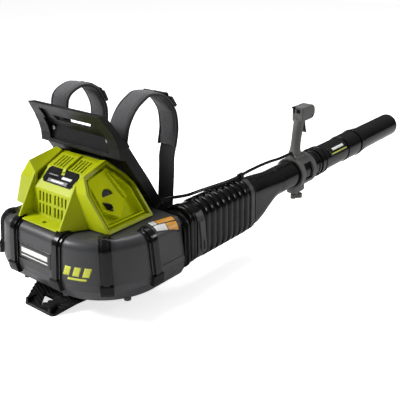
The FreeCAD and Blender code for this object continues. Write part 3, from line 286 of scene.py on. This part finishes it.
def weave(g, pitch, coords):
    """Height of a plain weave: warp and weft threads that pass over each other."""
    split = g.node("ShaderNodeSeparateXYZ", {0: coords})
    warp = g.math("SINE", g.math("MULTIPLY", split.outputs[0], 2 * pi / pitch))
    weft = g.math("SINE", g.math("MULTIPLY", split.outputs[1], 2 * pi / pitch))
    over = g.math("MULTIPLY", warp, weft)
    return g.math("ADD", g.math("MULTIPLY", over, 0.5), g.math("MULTIPLY", g.noise(2600.0, 2.0), 0.5))


def woven(name, colour, pitch, depth, sheen=0.35):
    """Woven cloth that takes its thread directions from the mesh's UV map, laid out in metres."""
    g = Graph(name)
    laid = g.node("ShaderNodeTexCoord").outputs["UV"]
    height = weave(g, pitch, laid)
    faded = g.remap(g.noise(14.0, 5.0), 0.3, 0.7)
    base = g.mix(faded, scaled(colour, 0.82), scaled(colour, 1.15))
    # Painted shade: the cloth darkens where the weave's height is low, in the hollows between threads.
    base = g.mix(g.remap(height, 0.0, 0.6, 0.0, 0.55), scaled(colour, 0.45), base)
    return g.finish(Base_Color=base, Roughness=0.86, Sheen_Weight=sheen, Sheen_Roughness=0.5,
                    Normal=g.bump(height, 0.7, depth))


def mesh_cloth(name, colour, pitch, depth):
    """Cloth for a simulated pad, which has no UV map: its weave lies on a leaning plane."""
    g = Graph(name)
    laid = g.node("ShaderNodeMapping", {"Vector": g.coords, "Rotation": (radians(32), 0, 0)}).outputs[0]
    split = g.node("ShaderNodeSeparateXYZ", {0: laid})
    flat = g.node("ShaderNodeCombineXYZ", {0: split.outputs[0], 1: split.outputs[2]}).outputs[0]
    height = weave(g, pitch, flat)
    base = g.mix(g.remap(g.noise(12.0, 5.0), 0.3, 0.7), scaled(colour, 0.8), scaled(colour, 1.2))
    # Painted shade: the cloth darkens where the weave's height is low, in the hollows between threads.
    base = g.mix(g.remap(height, 0.0, 0.6, 0.0, 0.6), scaled(colour, 0.4), base)
    return g.finish(Base_Color=base, Roughness=0.9, Sheen_Weight=0.3, Normal=g.bump(height, 0.7, depth))


def printed(name, colour, roughness=0.35):
    """Ink or film with a slightly uneven edge in tone."""
    g = Graph(name)
    base = g.mix(g.remap(g.noise(150.0, 4.0), 0.3, 0.7), scaled(colour, 0.92), scaled(colour, 1.06))
    return g.finish(Base_Color=base, Roughness=roughness, Normal=g.bump(g.noise(900.0), 0.05, 0.0002))


def studio_floor():
    """Pale floor that glows a little towards the camera, so that it reads white under soft light."""
    g = Graph("studio_floor")
    base = g.mix(g.noise(1.5), srgb(244, 244, 244), srgb(240, 240, 240))
    seen = g.node("ShaderNodeLightPath").outputs["Is Camera Ray"]
    glow = g.math("MULTIPLY", seen, FLOOR_GLOW)
    return g.finish(Base_Color=base, Roughness=0.7, Normal=g.bump(g.noise(90.0), 0.02, 0.001),
                    Emission_Color=(1.0, 1.0, 1.0, 1.0), Emission_Strength=glow)


MATERIALS = {
    "lime_plastic": lime_plastic(),
    "grey_plastic": grey_plastic(),
    "black_gloss": black_gloss(),
    "black_satin": black_satin(),
    "dark_grey_soft": grip_plastic(),
    "rubber_black": rubber_black(),
    "steel": metal("steel", srgb(178, 178, 182), 0.26),
    "aluminium_cast": metal("aluminium_cast", srgb(186, 188, 190), 0.42, (1.0, 1.0, 1.0)),
    "copper_wire": copper_wire(),
    "magnet": metal("magnet", srgb(120, 120, 126), 0.30),
    "circuit_green": circuit_green(),
    "webbing": woven("webbing", srgb(38, 38, 40), 0.0021, 0.0006, 0.2),
    "padding": woven("padding", srgb(74, 74, 77), 0.0014, 0.0005),
}
# Painted light: the battery bays get a brighter copy of the lime, standing in for fill light.
PAINTED_FILL_LOOKS = dict.fromkeys(("battery_bay_right", "battery_bay_left"), bay_lime_painted_fill())
PRINTS = {
    "white": printed("print_white", srgb(232, 232, 230)),
    "yellow": printed("print_yellow", srgb(214, 218, 72)),
    "orange": printed("print_orange", srgb(226, 160, 62)),
    "black": printed("print_black", srgb(14, 14, 15), 0.25),
    "grey": printed("print_grey", srgb(120, 118, 124)),
}
PAD_CLOTH = mesh_cloth("pad_cloth", srgb(78, 78, 81), 0.0016, 0.0005)
BACK_CLOTH = mesh_cloth("back_cloth", srgb(58, 58, 61), 0.0022, 0.0007)
BINDING = mesh_cloth("binding_tape", srgb(26, 26, 28), 0.0012, 0.0004)
THREAD = printed("thread", srgb(34, 34, 36), 0.7)


def dress_cad_nodes():
    """Give every CAD node the material of its slot in the record, or, for the battery bays, a lime painted
    brighter to stand in for fill light.
    """
    for part in frame["record"]["subparts"]:
        mesh = NODES[part["node"]].data
        mesh.materials.clear()
        mesh.materials.append(PAINTED_FILL_LOOKS.get(part["node"]) or MATERIALS[part["material_slot"]])


# ---------------------------------------------------------------- mesh helpers

def ring_faces(ring_count, size, looped, offset=0):
    """Quads between neighbouring rings; a looped run meets its own start, any other is capped."""
    faces = []
    for i in range(ring_count if looped else ring_count - 1):
        a, b = offset + i * size, offset + (i + 1) % ring_count * size
        for j in range(size):
            k = (j + 1) % size
            faces.append((a + j, a + k, b + k, b + j))
    if not looped:
        faces.append(tuple(offset + j for j in range(size)[::-1]))
        faces.append(tuple(offset + (ring_count - 1) * size + j for j in range(size)))
    return faces


def link(name, data):
    """A scene object that holds a mesh, a light or a camera."""
    obj = bpy.data.objects.new(name, data)
    bpy.context.scene.collection.objects.link(obj)
    return obj


def make(name, parts, material):
    """One smooth object from parts, each a (rings, looped) pair."""
    points, faces = [], []
    for rings, looped in parts:
        faces += ring_faces(len(rings), len(rings[0]), looped, len(points))
        points += [p for ring in rings for p in ring]
    mesh = bpy.data.meshes.new(name)
    mesh.from_pydata(points, [], faces)
    tidy = bmesh.new()
    tidy.from_mesh(mesh)
    bmesh.ops.recalc_face_normals(tidy, faces=tidy.faces)
    tidy.to_mesh(mesh)
    tidy.free()
    mesh.polygons.foreach_set("use_smooth", [True] * len(mesh.polygons))
    mesh.materials.append(material)
    return link(name, mesh)


def smooth_path(points, per_span=10):
    """Catmull-Rom curve through the points."""
    points = [Vector(p) for p in points]
    ends = [points[0] * 2 - points[1]] + points + [points[-1] * 2 - points[-2]]
    path = []
    for a, b, c, d in zip(ends, ends[1:], ends[2:], ends[3:]):
        for i in range(per_span):
            t = i / per_span
            path.append(0.5 * ((2 * b) + (c - a) * t + (2 * a - 5 * b + 4 * c - d) * t ** 2
                               + (3 * b - a - 3 * c + d) * t ** 3))
    return path + [points[-1]]


def headings(path):
    before = [path[0]] + path[:-1]
    after = path[1:] + [path[-1]]
    return [(b - a).normalized() for a, b in zip(before, after)]


def swept_rings(path, section, side=None):
    """Rings along a path, from a section of (sideways, outward) points."""
    rings = []
    for point, heading in zip(path, headings(path)):
        across = side or heading.cross(Vector((0, 0, 1))).normalized()
        outward = across.cross(heading).normalized()
        rings.append([point + across * a + outward * b for a, b in section])
    return rings


def circle(radius, sides=20):
    return [(radius * cos(2 * pi * i / sides), radius * sin(2 * pi * i / sides)) for i in range(sides)]


def lay_uv(obj, ring_size, rings):
    """UV map in metres for a single swept part: along its length, then round its section."""
    mesh = obj.data
    along, around = [0.0], []
    centres = [sum(ring, Vector()) / ring_size for ring in rings]
    for a, b in zip(centres, centres[1:]):
        along.append(along[-1] + (b - a).length)
    total = 0.0
    for j in range(ring_size + 1):
        around.append(total)
        total += (rings[0][(j + 1) % ring_size] - rings[0][j % ring_size]).length
    layer = mesh.uv_layers.new(name="laid")
    for polygon in mesh.polygons:
        indices = [mesh.loops[k].vertex_index for k in polygon.loop_indices]
        wraps = {v % ring_size for v in indices} >= {0, ring_size - 1} and len(indices) == 4
        for k, v in zip(polygon.loop_indices, indices):
            i, j = divmod(v, ring_size)
            layer.data[k].uv = (along[i], around[ring_size] if wraps and j == 0 else around[j])


def surface_tree(node):
    mesh = NODES[node].data
    return BVHTree.FromPolygons([v.co for v in mesh.vertices], [p.vertices for p in mesh.polygons])


def laid_on(name, tree, centre, across, up, size, material, body, lift=0.0004, shear=0.0, steps=(20, 8)):
    """A thin closed patch on a CAD surface: across and up span its plane, and shear slants it."""
    across, up = Vector(across).normalized(), Vector(up).normalized()
    out = across.cross(up)
    top, under = [], []
    for j in range(steps[1] + 1):
        for i in range(steps[0] + 1):
            v = (j / steps[1] - 0.5) * size[1]
            u = (i / steps[0] - 0.5) * size[0] + shear * v
            start = Vector(centre) + across * u + up * v + out * RAY_START
            hit, normal = tree.ray_cast(start, -out)[:2]
            if hit is None:
                hit, normal = start - out * RAY_START, out
            if normal.dot(out) < 0:
                normal = -normal
            top.append(hit + normal * lift)
            under.append(hit - normal * PRINT_SINK)
    return grid_slab(name, top, under, steps, material, body)


def grid_slab(name, top, under, steps, material, body):
    """A closed slab between two grids of points."""
    row, count = steps[0] + 1, len(top)
    faces = []
    for j in range(steps[1]):
        for i in range(steps[0]):
            a = j * row + i
            faces.append((a, a + 1, a + row + 1, a + row))
            faces.append((count + a, count + a + row, count + a + row + 1, count + a + 1))
    rim = list(range(row))
    rim += [j * row + row - 1 for j in range(1, steps[1] + 1)]
    rim += [steps[1] * row + i for i in range(row - 2, -1, -1)]
    rim += [j * row for j in range(steps[1] - 1, 0, -1)]
    for a, b in zip(rim, rim[1:] + rim[:1]):
        faces.append((a, count + a, count + b, b))
    mesh = bpy.data.meshes.new(name)
    mesh.from_pydata(top + under, [], faces)
    mesh.materials.append(material)
    mesh.polygons.foreach_set("use_smooth", [True] * len(mesh.polygons))
    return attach(link(name, mesh), body)


# ---------------------------------------------------------------- hose

def duct_ring(half, bottom, top, y, x, sides=72):
    """A tall round-cornered duct section at y: straight sides between two half circles."""
    radius = half * 0.955
    ring = []
    corners = [(half - radius, top - radius, 0), (radius - half, top - radius, 90),
               (radius - half, bottom + radius, 180), (half - radius, bottom + radius, 270)]
    for cx, cz, start in corners:
        for i in range(sides // 4):
            angle = radians(start + 90 * i / (sides // 4 - 1))
            ring.append(Vector((x + cx + radius * cos(angle), y, cz + radius * sin(angle))))
    return ring


def hose_profile():
    """Stations along the hose as (y, how far below the ribs' crest the surface lies)."""
    bead = [(0.0, 0.0035), (0.001, 0.001), (0.0028, 0.0), (0.0066, 0.0), (0.0084, 0.001), (0.0096, 0.0035)]
    crest = [(-0.0112, 1.0), (-0.0096, 0.86), (-0.0086, 0.45), (-0.0074, 0.14), (-0.0052, 0.02), (0.0, 0.0),
             (0.0052, 0.02), (0.0074, 0.14), (0.0086, 0.45), (0.0096, 0.86), (0.0112, 1.0)]
    stations = [(start + dy, drop) for start in BEAD_STARTS for dy, drop in bead]
    stations += [(y, CUFF_DROP) for y in REAR_CUFF]
    for i in range(RIB_COUNT):
        stations += [(FIRST_RIB + i * RIB_PITCH + dy, share * RIB_DEPTH) for dy, share in crest]
    return stations + [(y, CUFF_DROP) for y in FRONT_CUFF]


def hose_outside(low, high, centre_x):
    """Rings of the hose's outside, whose top falls or rises evenly from its rear to the front clamp."""
    half = (high.x - low.x) / 2
    front_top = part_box("hose_clamp_front")[1].z - 0.0026 + CUFF_DROP
    rings = []
    for y, drop in hose_profile():
        share = (y - low.y) / (high.y - low.y)
        top = high.z + (front_top - high.z) * share
        rings.append(duct_ring(half - drop, low.z + drop, top - drop, y, centre_x))
    return rings


def hose_half(name, outside, low, centre_x):
    """One half of the hose: its outside and, walked back, a plain bore."""
    bore_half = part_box("hose_collar_rear")[1].x - centre_x - 0.0046
    bore_bottom = low.z + 0.0087
    bore_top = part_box("hose_clamp_front")[1].z - 0.0026 - 0.0085
    bore = [duct_ring(bore_half, bore_bottom, bore_top, ring[0].y, centre_x) for ring in outside[::-1]]
    return make(name, [(outside + bore, True)], MATERIALS["rubber_black"])


def hose():
    """The ribbed hose in two halves, split midway between its two joints."""
    low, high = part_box("hose_bellows")
    centre_x = (low.x + high.x) / 2
    outside = hose_outside(low, high, centre_x)
    rear = [ring for ring in outside if ring[0].y <= HOSE_SPLIT]
    front = [rear[-1]] + [ring for ring in outside if ring[0].y > HOSE_SPLIT]
    rear_half = hose_half("hose_rear_half", rear, low, centre_x)
    front_half = hose_half("hose_front_half", front, low, centre_x)
    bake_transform(rear_half)
    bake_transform(front_half)
    for piece in (rear_half, front_half):
        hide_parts("hose_bellows")


# ---------------------------------------------------------------- control cable

def loom_rings(path):
    """Rings of a corrugated loom: every second ring stands a little lower."""
    rings = swept_rings(path, circle(CABLE_R, 16))
    for ring in rings[1:-1:2]:
        middle = sum(ring, Vector()) / len(ring)
        ring[:] = [middle + (point - middle) * 0.9 for point in ring]
    return rings


def slant_end(rings, count=6):
    """Slant the last rings step by step, so that the end lies flush on the grip's leaning rear face."""
    for step, ring in enumerate(rings[-count:], 1):
        middle = sum(ring, Vector()) / len(ring)
        for point in ring:
            point.y += (point.z - middle.z) * GRIP_LEAN * step / count


def cable_path(clip_x, clip_y, at_clip):
    """The cable's middle line, from the cowl over the hose and through its clip to the grip."""
    over_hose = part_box("hose_bellows")[1].z + CABLE_R + CABLE_LIFT
    grip_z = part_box("clamp_upper")[1].z + CABLE_R + 0.0012
    toward_grip = (Vector((clip_x + 0.0015, clip_y, grip_z)), Vector((0, 1, 0)))
    grip_face = surface_tree("grip_shell_right").ray_cast(*toward_grip)[0].y
    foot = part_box("cable_rear")[0] + Vector((0.0060, 0.0030, 0.0050))
    on_cowl = [foot, foot + Vector((0.009, 0.012, 0.012)), foot + Vector((0.021, 0.030, 0.0196))]
    on_hose = [(clip_x - 0.027, YAW_Y - 0.066, over_hose + 0.0005),
               (clip_x - 0.017, YAW_Y - 0.038, over_hose),
               (clip_x - 0.012, YAW_Y, over_hose),
               (clip_x - 0.007, HOSE_SPLIT, over_hose - 0.0016),
               (clip_x - 0.002, PITCH_Y, over_hose - 0.003),
               (clip_x, clip_y - 0.035, over_hose - 0.0034)]
    over_tube = [(clip_x, clip_y, at_clip),
                 (clip_x, clip_y + 0.045, at_clip + 0.0022),
                 (clip_x, clip_y + 0.100, at_clip + 0.0026),
                 (clip_x, clip_y + 0.145, at_clip + 0.0008),
                 (clip_x, clip_y + 0.195, at_clip - 0.0034),
                 (clip_x, grip_face - 0.0007, grip_z)]
    return smooth_path(on_cowl + on_hose + over_tube, 22)


def cable():
    """The throttle cable in four lengths, split near the joints."""
    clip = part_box("cable_clip")
    clip_x, clip_y = (clip[0].x + clip[1].x) / 2, (clip[0].y + clip[1].y) / 2
    at_clip = clip[1].z - CABLE_R - 0.003
    path = cable_path(clip_x, clip_y, at_clip)
    tube_y = PITCH_Y + BEND_HALF
    handle_y = clip_y + 0.165
    grip_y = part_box("clamp_upper")[0].y - 0.010
    lengths = [("cable_rear", "machine", "hose_mid", -1.0, HOSE_SPLIT, YAW_Y - BEND_HALF, HOSE_SPLIT),
               ("cable_middle", "hose_mid", "blow_tube", HOSE_SPLIT, tube_y, HOSE_SPLIT, tube_y),
               ("cable_front", "blow_tube", "grip_carrier", tube_y, handle_y, clip[1].y, handle_y),
               ("cable_grip", "grip_carrier", "control_handle", handle_y, 9.0, handle_y, grip_y)]
    for node, rear_body, front_body, low, high, bend_from, bend_to in lengths:
        stretch = [p for p in path if low - CABLE_LAP <= p.y <= high + CABLE_LAP]
        rings = loom_rings(stretch)
        if node == "cable_grip":
            slant_end(rings)
        piece = make(node + "_sheath", [(rings, False)], MATERIALS["rubber_black"])
        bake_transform(piece)
        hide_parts(node)


# ---------------------------------------------------------------- harness

# Side view of each shoulder pad, as shares of its box's depth and height
PAD_COURSES = {
    "right": [(0.031, 0.398), (0.082, 0.596), (0.206, 0.794), (0.36, 0.912), (0.505, 0.962), (0.742, 0.881),
              (0.927, 0.621), (0.968, 0.311), (0.917, 0.013)],
    "left": [(0.098, 0.384), (0.043, 0.603), (0.098, 0.835), (0.304, 0.944), (0.538, 0.956), (0.785, 0.835),
             (0.95, 0.543), (0.937, 0.251), (0.882, 0.007)],
}
WEB_BULGE = {"right": 0.002, "left": 0.003}
SIDEWAYS = Vector((1, 0, 0))


def pad_course(label):
    """The middle line of a pad, from its upper anchor over the shoulder to its lower end."""
    low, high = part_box("shoulder_pad_" + label)
    x = (low.x + high.x) / 2
    points = [Vector((x, low.y + fy * (high.y - low.y), low.z + fz * (high.z - low.z)))
              for fy, fz in PAD_COURSES[label]]
    root = points[0] + Vector((0, -0.003, -0.014))
    return smooth_path([root] + points, 12)


def lens(half, thick, edge, steps=12):
    """Outline of a padded strap: crowned faces that pull in to thin edges."""
    upper = [(-half + 2 * half * i / steps, edge / 2 + (thick - edge) / 2 * sin(pi * i / steps) ** 0.6)
             for i in range(steps + 1)]
    return upper + [(a, -b) for a, b in upper[::-1]]


def off_pad(pad, ways, index, lift):
    """A point outside a pad's middle line: half its thickness and lift away."""
    return pad[index] + SIDEWAYS.cross(ways[index]).normalized() * (PAD_THICK / 2 + lift)


def inflate(obj, voxel, cap):
    """Swell a closed cushion with a short cloth simulation; no point moves further than cap."""
    scene = bpy.context.scene
    remesh = obj.modifiers.new("remesh", "REMESH")
    remesh.mode = "VOXEL"
    remesh.voxel_size = voxel
    bake(obj)
    rest = [v.co.copy() for v in obj.data.vertices]
    cloth = obj.modifiers.new("cloth", "CLOTH")
    cloth.settings.use_pressure = True
    cloth.settings.uniform_pressure_force = CLOTH_PRESSURE
    cloth.settings.effector_weights.gravity = 0.0
    cloth.settings.quality = 6
    for number in range(1, CLOTH_STEPS + 1):
        scene.frame_set(number)
    bake(obj)
    for vertex, start in zip(obj.data.vertices, rest):
        moved = vertex.co - start
        if moved.length > cap:
            vertex.co = start + moved * (cap / moved.length)
    scene.frame_set(1)


def bake(obj):
    """Replace an object's mesh by what its modifiers make of it."""
    graph = bpy.context.evaluated_depsgraph_get()
    result = bpy.data.meshes.new_from_object(obj.evaluated_get(graph), depsgraph=graph)
    obj.modifiers.clear()
    obj.data = result
    result.polygons.foreach_set("use_smooth", [True] * len(result.polygons))


def subdivide(obj):
    obj.modifiers.new("subdivision", "SUBSURF").levels = 1
    bake(obj)


def stitch_parts(path, offset, height):
    """Short raised threads along a path, sideways by offset and outward by height."""
    parts, travelled, due = [], 0.0, STITCH_PITCH
    for a, b, heading in zip(path, path[1:], headings(path)):
        travelled += (b - a).length
        if travelled < due:
            continue
        due += STITCH_PITCH
        outward = SIDEWAYS.cross(heading).normalized()
        middle = a + SIDEWAYS * offset + outward * height
        rings = []
        for along, size in ((-0.0017, 0.0001), (-0.0010, 0.0004), (0.0010, 0.0004), (0.0017, 0.0001)):
            rings.append([middle + heading * along + SIDEWAYS * size * cos(t) + outward * size * sin(t)
                          for t in (0.0, pi / 2, pi, 3 * pi / 2)])
        parts.append((rings, False))
    return parts


def cushion(name, rings, material, voxel, cap):
    """A padded piece from its rings, swelled and smoothed."""
    pad = make(name, [(rings, False)], material)
    inflate(pad, voxel, cap)
    subdivide(pad)
    return pad


def on_machine(obj, slot, *nodes):
    """Ride a piece on the machine and hide the CAD nodes that it stands for; its slot is not used."""
    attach(obj, "machine")
    if nodes:
        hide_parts(*nodes)


def shoulder_pad(label):
    """A padded shoulder strap with bound edges and two stitched lines on each face."""
    node = "shoulder_pad_" + label
    path = pad_course(label)
    rings = swept_rings(path, lens(PAD_HALF - 0.003, PAD_THICK - 0.002, 0.005), SIDEWAYS)
    on_machine(cushion(node + "_cushion", rings, PAD_CLOTH, 0.004, 0.003), "padding", node)
    tape = [(a * 0.0042, b * 0.0040) for a, b in circle(1.0, 14)]
    edges = []
    for s in (-1, 1):
        edge = [p + SIDEWAYS * s * (PAD_HALF - 0.0044) for p in path]
        edges.append((swept_rings(edge, tape, SIDEWAYS), False))
    on_machine(make(node + "_binding", edges, BINDING), "webbing")
    fine = smooth_path(path, 3)
    threads = []
    for s in (-1, 1):
        for face in (-1, 1):
            threads += stitch_parts(fine, s * (PAD_HALF - 0.0112), face * (PAD_THICK / 2 - 0.0004))
    on_machine(make(node + "_stitching", threads, THREAD), "webbing")


def web_outline():
    """Section of the webbing: flat, with a thicker woven rib along each edge."""
    half, thin, rib = WEB_HALF, WEB_THIN, WEB_THIN + 0.0005
    upper = [(-half, thin), (-half + 0.003, rib), (-half + 0.005, thin), (half - 0.005, thin),
             (half - 0.003, rib), (half, thin)]
    return upper + [(a, -b) for a, b in upper[::-1]]


def web_piece(name, path, outline):
    """A length of webbing along a path, with the weave laid along it."""
    rings = swept_rings(path, outline, SIDEWAYS)
    strap = make(name, [(rings, False)], MATERIALS["webbing"])
    lay_uv(strap, len(outline), rings)
    return strap


def lower_webbing(label):
    """The webbing from the outside of a pad's lower end down to its anchor on the frame."""
    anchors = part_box("strap_anchors")
    pad = pad_course(label)
    ways = headings(pad)
    last = len(pad) - 1
    outside = [off_pad(pad, ways, last - i, 0.0016) for i in (6, 3)]
    end, foot = pad[-1], Vector((pad[-1].x, anchors[1].y - 0.0035, anchors[0].z + 0.010))
    drop = [end.lerp(foot, t) + Vector((0, WEB_BULGE[label] * 4 * t * (1 - t), 0))
            for t in (0.14, 0.32, 0.5, 0.68, 0.84, 1.0)]
    strap = web_piece("lower_webbing_" + label, smooth_path(outside + drop, 8), web_outline())
    on_machine(strap, "webbing", "lower_straps")


def buckle_webbing(label):
    """A length of webbing threaded through a ladder lock, with a loose tail."""
    pad = pad_course(label)
    ways = headings(pad)
    lock = min(range(len(pad)), key=lambda i: abs(i / len(pad) - BUCKLE_SHARE))
    lifts = {-9: 0.0, -5: 0.0005, -2: 0.0035, 0: 0.0085, 2: 0.0035, 5: 0.0010, 9: 0.0, 13: 0.0}
    path = [off_pad(pad, ways, lock + i, 0.0012 + lift) for i, lift in lifts.items()]
    outline = [(a * 0.8, b * 0.9) for a, b in web_outline()]
    on_machine(web_piece("buckle_webbing_" + label, smooth_path(path, 5), outline), "webbing")


def back_rings(foot, lean, out, height, half_width):
    """Rings of the back pad from its foot up, which thin and narrow a little towards both ends."""
    rings = []
    for i in range(BACK_ROWS + 1):
        share = i / BACK_ROWS
        from_end = min(share, 1 - share)
        pinch = min(1.0, 6 * from_end + 0.45)
        half = half_width * (0.93 + 0.07 * min(1.0, 8 * from_end))
        outline = lens(half, BACK_THICK * pinch, BACK_EDGE * pinch, 16)
        centre = foot + lean * (0.004 + share * height)
        rings.append([centre + SIDEWAYS * a + out * b for a, b in outline])
    return rings


def sew_channels(pad, foot, lean, out, height):
    """Press the seams into the outer face of the back pad."""
    for vertex in pad.data.vertices:
        along = (vertex.co - foot).dot(lean) / height
        outward = (vertex.co - foot).dot(out)
        if outward <= 0:
            continue
        for seam in BACK_SEAMS:
            near = max(0.0, 1 - abs(along - seam) * height / SEAM_HALF)
            vertex.co -= out * SEAM_DEPTH * near * near


def back_cushion():
    """The foam pad against the wearer's back, with sewn channels across it."""
    low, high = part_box("back_pad")
    lean = Vector((0, low.y + 0.021 - high.y, high.z - low.z)).normalized()
    out = Vector((0, lean.z, -lean.y))
    foot = Vector((0, high.y - 0.012, low.z + 0.008))
    height = (high.z - low.z) / lean.z - 0.024
    rings = back_rings(foot, lean, out, height, high.x - 0.003)
    pad = cushion("back_cushion", rings, BACK_CLOTH, 0.005, 0.004)
    sew_channels(pad, foot, lean, out, height)
    on_machine(pad, "padding", "back_pad")


# ---------------------------------------------------------------- plates and prints, with no lettering

def rear_badge():
    """Plain badge on the rear wall: a black plate with two white bars."""
    tree = surface_tree("volute_upper")
    centre = Vector((-0.0025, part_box("volute_upper")[0].y + 0.006, 0.1475))
    for name, dz, size, ink, lift in (("plate", 0.0, (0.125, 0.041), "black", 0.0010),
                                      ("bar", 0.003, (0.100, 0.013), "white", 0.0014),
                                      ("line", -0.0105, (0.100, 0.003), "white", 0.0014)):
        laid_on("rear_badge_" + name, tree, centre + Vector((0, 0, dz)), (1, 0, 0), (0, 0.1, 1), size,
                PRINTS[ink], "machine", lift)


def speed_graphic():
    """Three slanted bars over a thin one, on the curved wall."""
    tree = surface_tree("volute_upper")
    across, up = Vector((0.93, 0.37, 0)), Vector((0, 0.1, 1))
    centre = Vector((0.138, -0.175, 0.143))
    for i in range(3):
        laid_on("speed_bar_%d" % (i + 1), tree, centre + across * (i - 1) * 0.026, across, up,
                (0.017, 0.023), PRINTS["yellow"], "machine", shear=0.30, steps=(6, 6))
    laid_on("speed_line", tree, centre - Vector((0, 0, 0.019)), across, up,
            (0.050, 0.0055), PRINTS["yellow"], "machine", shear=0.30, steps=(12, 2))


def outlet_label():
    """Plain colour blocks where the outlet's top rolls over to its side."""
    tree = surface_tree("volute_upper")
    across, up = Vector((0.25, 1, 0)).normalized(), Vector((-0.9, 0.22, 0.42)).normalized()
    centre = Vector((0.222, 0.040, 0.214))
    for name, du, dv, size, ink, lift in (("ground", 0.0, 0.0, (0.072, 0.044), "black", 0.0004),
                                          ("white_low", -0.017, -0.0105, (0.034, 0.018), "white", 0.0007),
                                          ("orange_low", 0.018, -0.0105, (0.032, 0.018), "orange", 0.0007),
                                          ("white_high", -0.026, 0.011, (0.016, 0.018), "white", 0.0007),
                                          ("orange_high", 0.009, 0.011, (0.050, 0.018), "orange", 0.0007)):
        laid_on("label_" + name, tree, centre + across * du + up * dv, across, up, size, PRINTS[ink],
                "machine", lift)


def cowl_badge_prints():
    """A grey strip and three bars on the cowl's badge."""
    tree = surface_tree("cowl_badge")
    low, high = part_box("cowl_badge")
    up = Vector((0, high.y - low.y, high.z - low.z)).normalized()
    middle = (low + high) / 2
    for name, dx, dv, size, ink, lift, shear in (
            ("strip", 0.0, -0.0145, (0.072, 0.0095), "grey", 0.0004, 0.0),
            ("strip_bar", 0.0, -0.0145, (0.046, 0.0045), "white", 0.0007, 0.0),
            ("line_left", -0.026, 0.001, (0.034, 0.0030), "grey", 0.0004, 0.3),
            ("line_right", 0.024, -0.001, (0.034, 0.0070), "white", 0.0004, 0.3)):
        laid_on("cowl_badge_" + name, tree, middle + SIDEWAYS * dx + up * dv, SIDEWAYS, up, size,
                PRINTS[ink], "machine", lift, shear)


def tube_label():
    """A plain black plate with a white and a yellow bar on the middle tube."""
    tree = surface_tree("middle_tube")
    low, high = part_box("middle_tube")
    out = Vector((0.76, 0, 0.65))
    along = Vector((0, 1, 0))
    up = out.cross(along)
    axis = Vector(((low.x + high.x) / 2, low.y + 0.112, (low.z + high.z) / 2))
    centre = axis + out * 0.041
    for name, dv, size, ink, lift in (("plate", 0.0, (0.110, 0.028), "black", 0.0006),
                                      ("bar", -0.010, (0.092, 0.0030), "yellow", 0.0009),
                                      ("blank", 0.003, (0.070, 0.0080), "white", 0.0009)):
        laid_on("tube_label_" + name, tree, centre + up * dv, along, up, size, PRINTS[ink],
                "middle_section", lift)


# ---------------------------------------------------------------- studio

def studio():
    studio_ground()
    bpy.context.scene.world = studio_world()
    area_light("key_light", (-1.5, -1.6, 1.9), (0.0, 0.0, 0.2), 1.0, 82.0)
    area_light("top_light", (-0.3, 0.8, 2.2), (0.1, 0.3, 0.2), 1.1, 36.0)
    area_light("rim_light", (2.3, 2.0, 1.5), (0.2, 0.6, 0.2), 0.7, 16.0)
    bpy.context.scene.view_settings.view_transform = "Standard"
    camera()


def studio_world():
    """White to the camera, but to the surfaces a dim room under a bright ceiling: blacks stay deep."""
    world = bpy.data.worlds.new("studio_world")
    world.use_nodes = True
    tree = world.node_tree
    background = tree.nodes["Background"]
    background.inputs["Color"].default_value = (1.0, 1.0, 1.0, 1.0)
    way = tree.nodes.new("ShaderNodeTexCoord")
    split = tree.nodes.new("ShaderNodeSeparateXYZ")
    ramp = tree.nodes.new("ShaderNodeMapRange")
    camera_ray = tree.nodes.new("ShaderNodeLightPath")
    choose = tree.nodes.new("ShaderNodeMix")
    tree.links.new(way.outputs["Generated"], split.inputs[0])
    tree.links.new(split.outputs["Z"], ramp.inputs["Value"])
    ramp.inputs["From Min"].default_value = 0.1
    ramp.inputs["From Max"].default_value = 0.9
    ramp.inputs["To Min"].default_value = ROOM_SIDE
    ramp.inputs["To Max"].default_value = ROOM_TOP
    tree.links.new(camera_ray.outputs["Is Camera Ray"], choose.inputs[0])
    tree.links.new(ramp.outputs["Result"], choose.inputs[2])
    choose.inputs[3].default_value = 1.0
    tree.links.new(choose.outputs[0], background.inputs["Strength"])
    return world


def studio_ground():
    """A wide flat floor."""
    mesh = bpy.data.meshes.new("studio_floor")
    corners = [(x * FLOOR_HALF, y * FLOOR_HALF, 0) for x, y in ((-1, -1), (1, -1), (1, 1), (-1, 1))]
    mesh.from_pydata(corners, [], [(0, 1, 2, 3)])
    mesh.materials.append(studio_floor())
    return link("studio_floor", mesh)


def area_light(name, place, target, size, power):
    light = bpy.data.lights.new(name, "AREA")
    light.shape = "DISK"
    light.size = size
    light.energy = power
    obj = link(name, light)
    obj.location = place
    obj.rotation_euler = (Vector(target) - Vector(place)).to_track_quat("-Z", "Y").to_euler()


def camera():
    """A camera at the photograph's viewing angle."""
    lens_data = bpy.data.cameras.new("camera")
    lens_data.lens = CAMERA_LENS
    lens_data.sensor_width = 36.0
    azimuth, elevation = radians(CAMERA_AZIMUTH), radians(CAMERA_ELEVATION)
    back = Vector((sin(azimuth) * cos(elevation), -cos(azimuth) * cos(elevation), sin(elevation)))
    right = Vector((cos(azimuth), sin(azimuth), 0))
    up = back.cross(right)
    roll = radians(CAMERA_ROLL)
    rolled = right * cos(roll) - up * sin(roll)
    obj = link("camera", lens_data)
    obj.rotation_mode = "XYZ"
    obj.matrix_world = Matrix((rolled, back.cross(rolled), back)).transposed().to_4x4()
    obj.location = CAMERA_AT
    bpy.context.scene.camera = obj


# ---------------------------------------------------------------- build

dress_cad_nodes()
hose()
cable()
for side in ("right", "left"):
    shoulder_pad(side)
for side in ("right", "left"):
    lower_webbing(side)
for side in ("right", "left"):
    buckle_webbing(side)
back_cushion()
rear_badge()
speed_graphic()
outlet_label()
cowl_badge_prints()
tube_label()
studio()
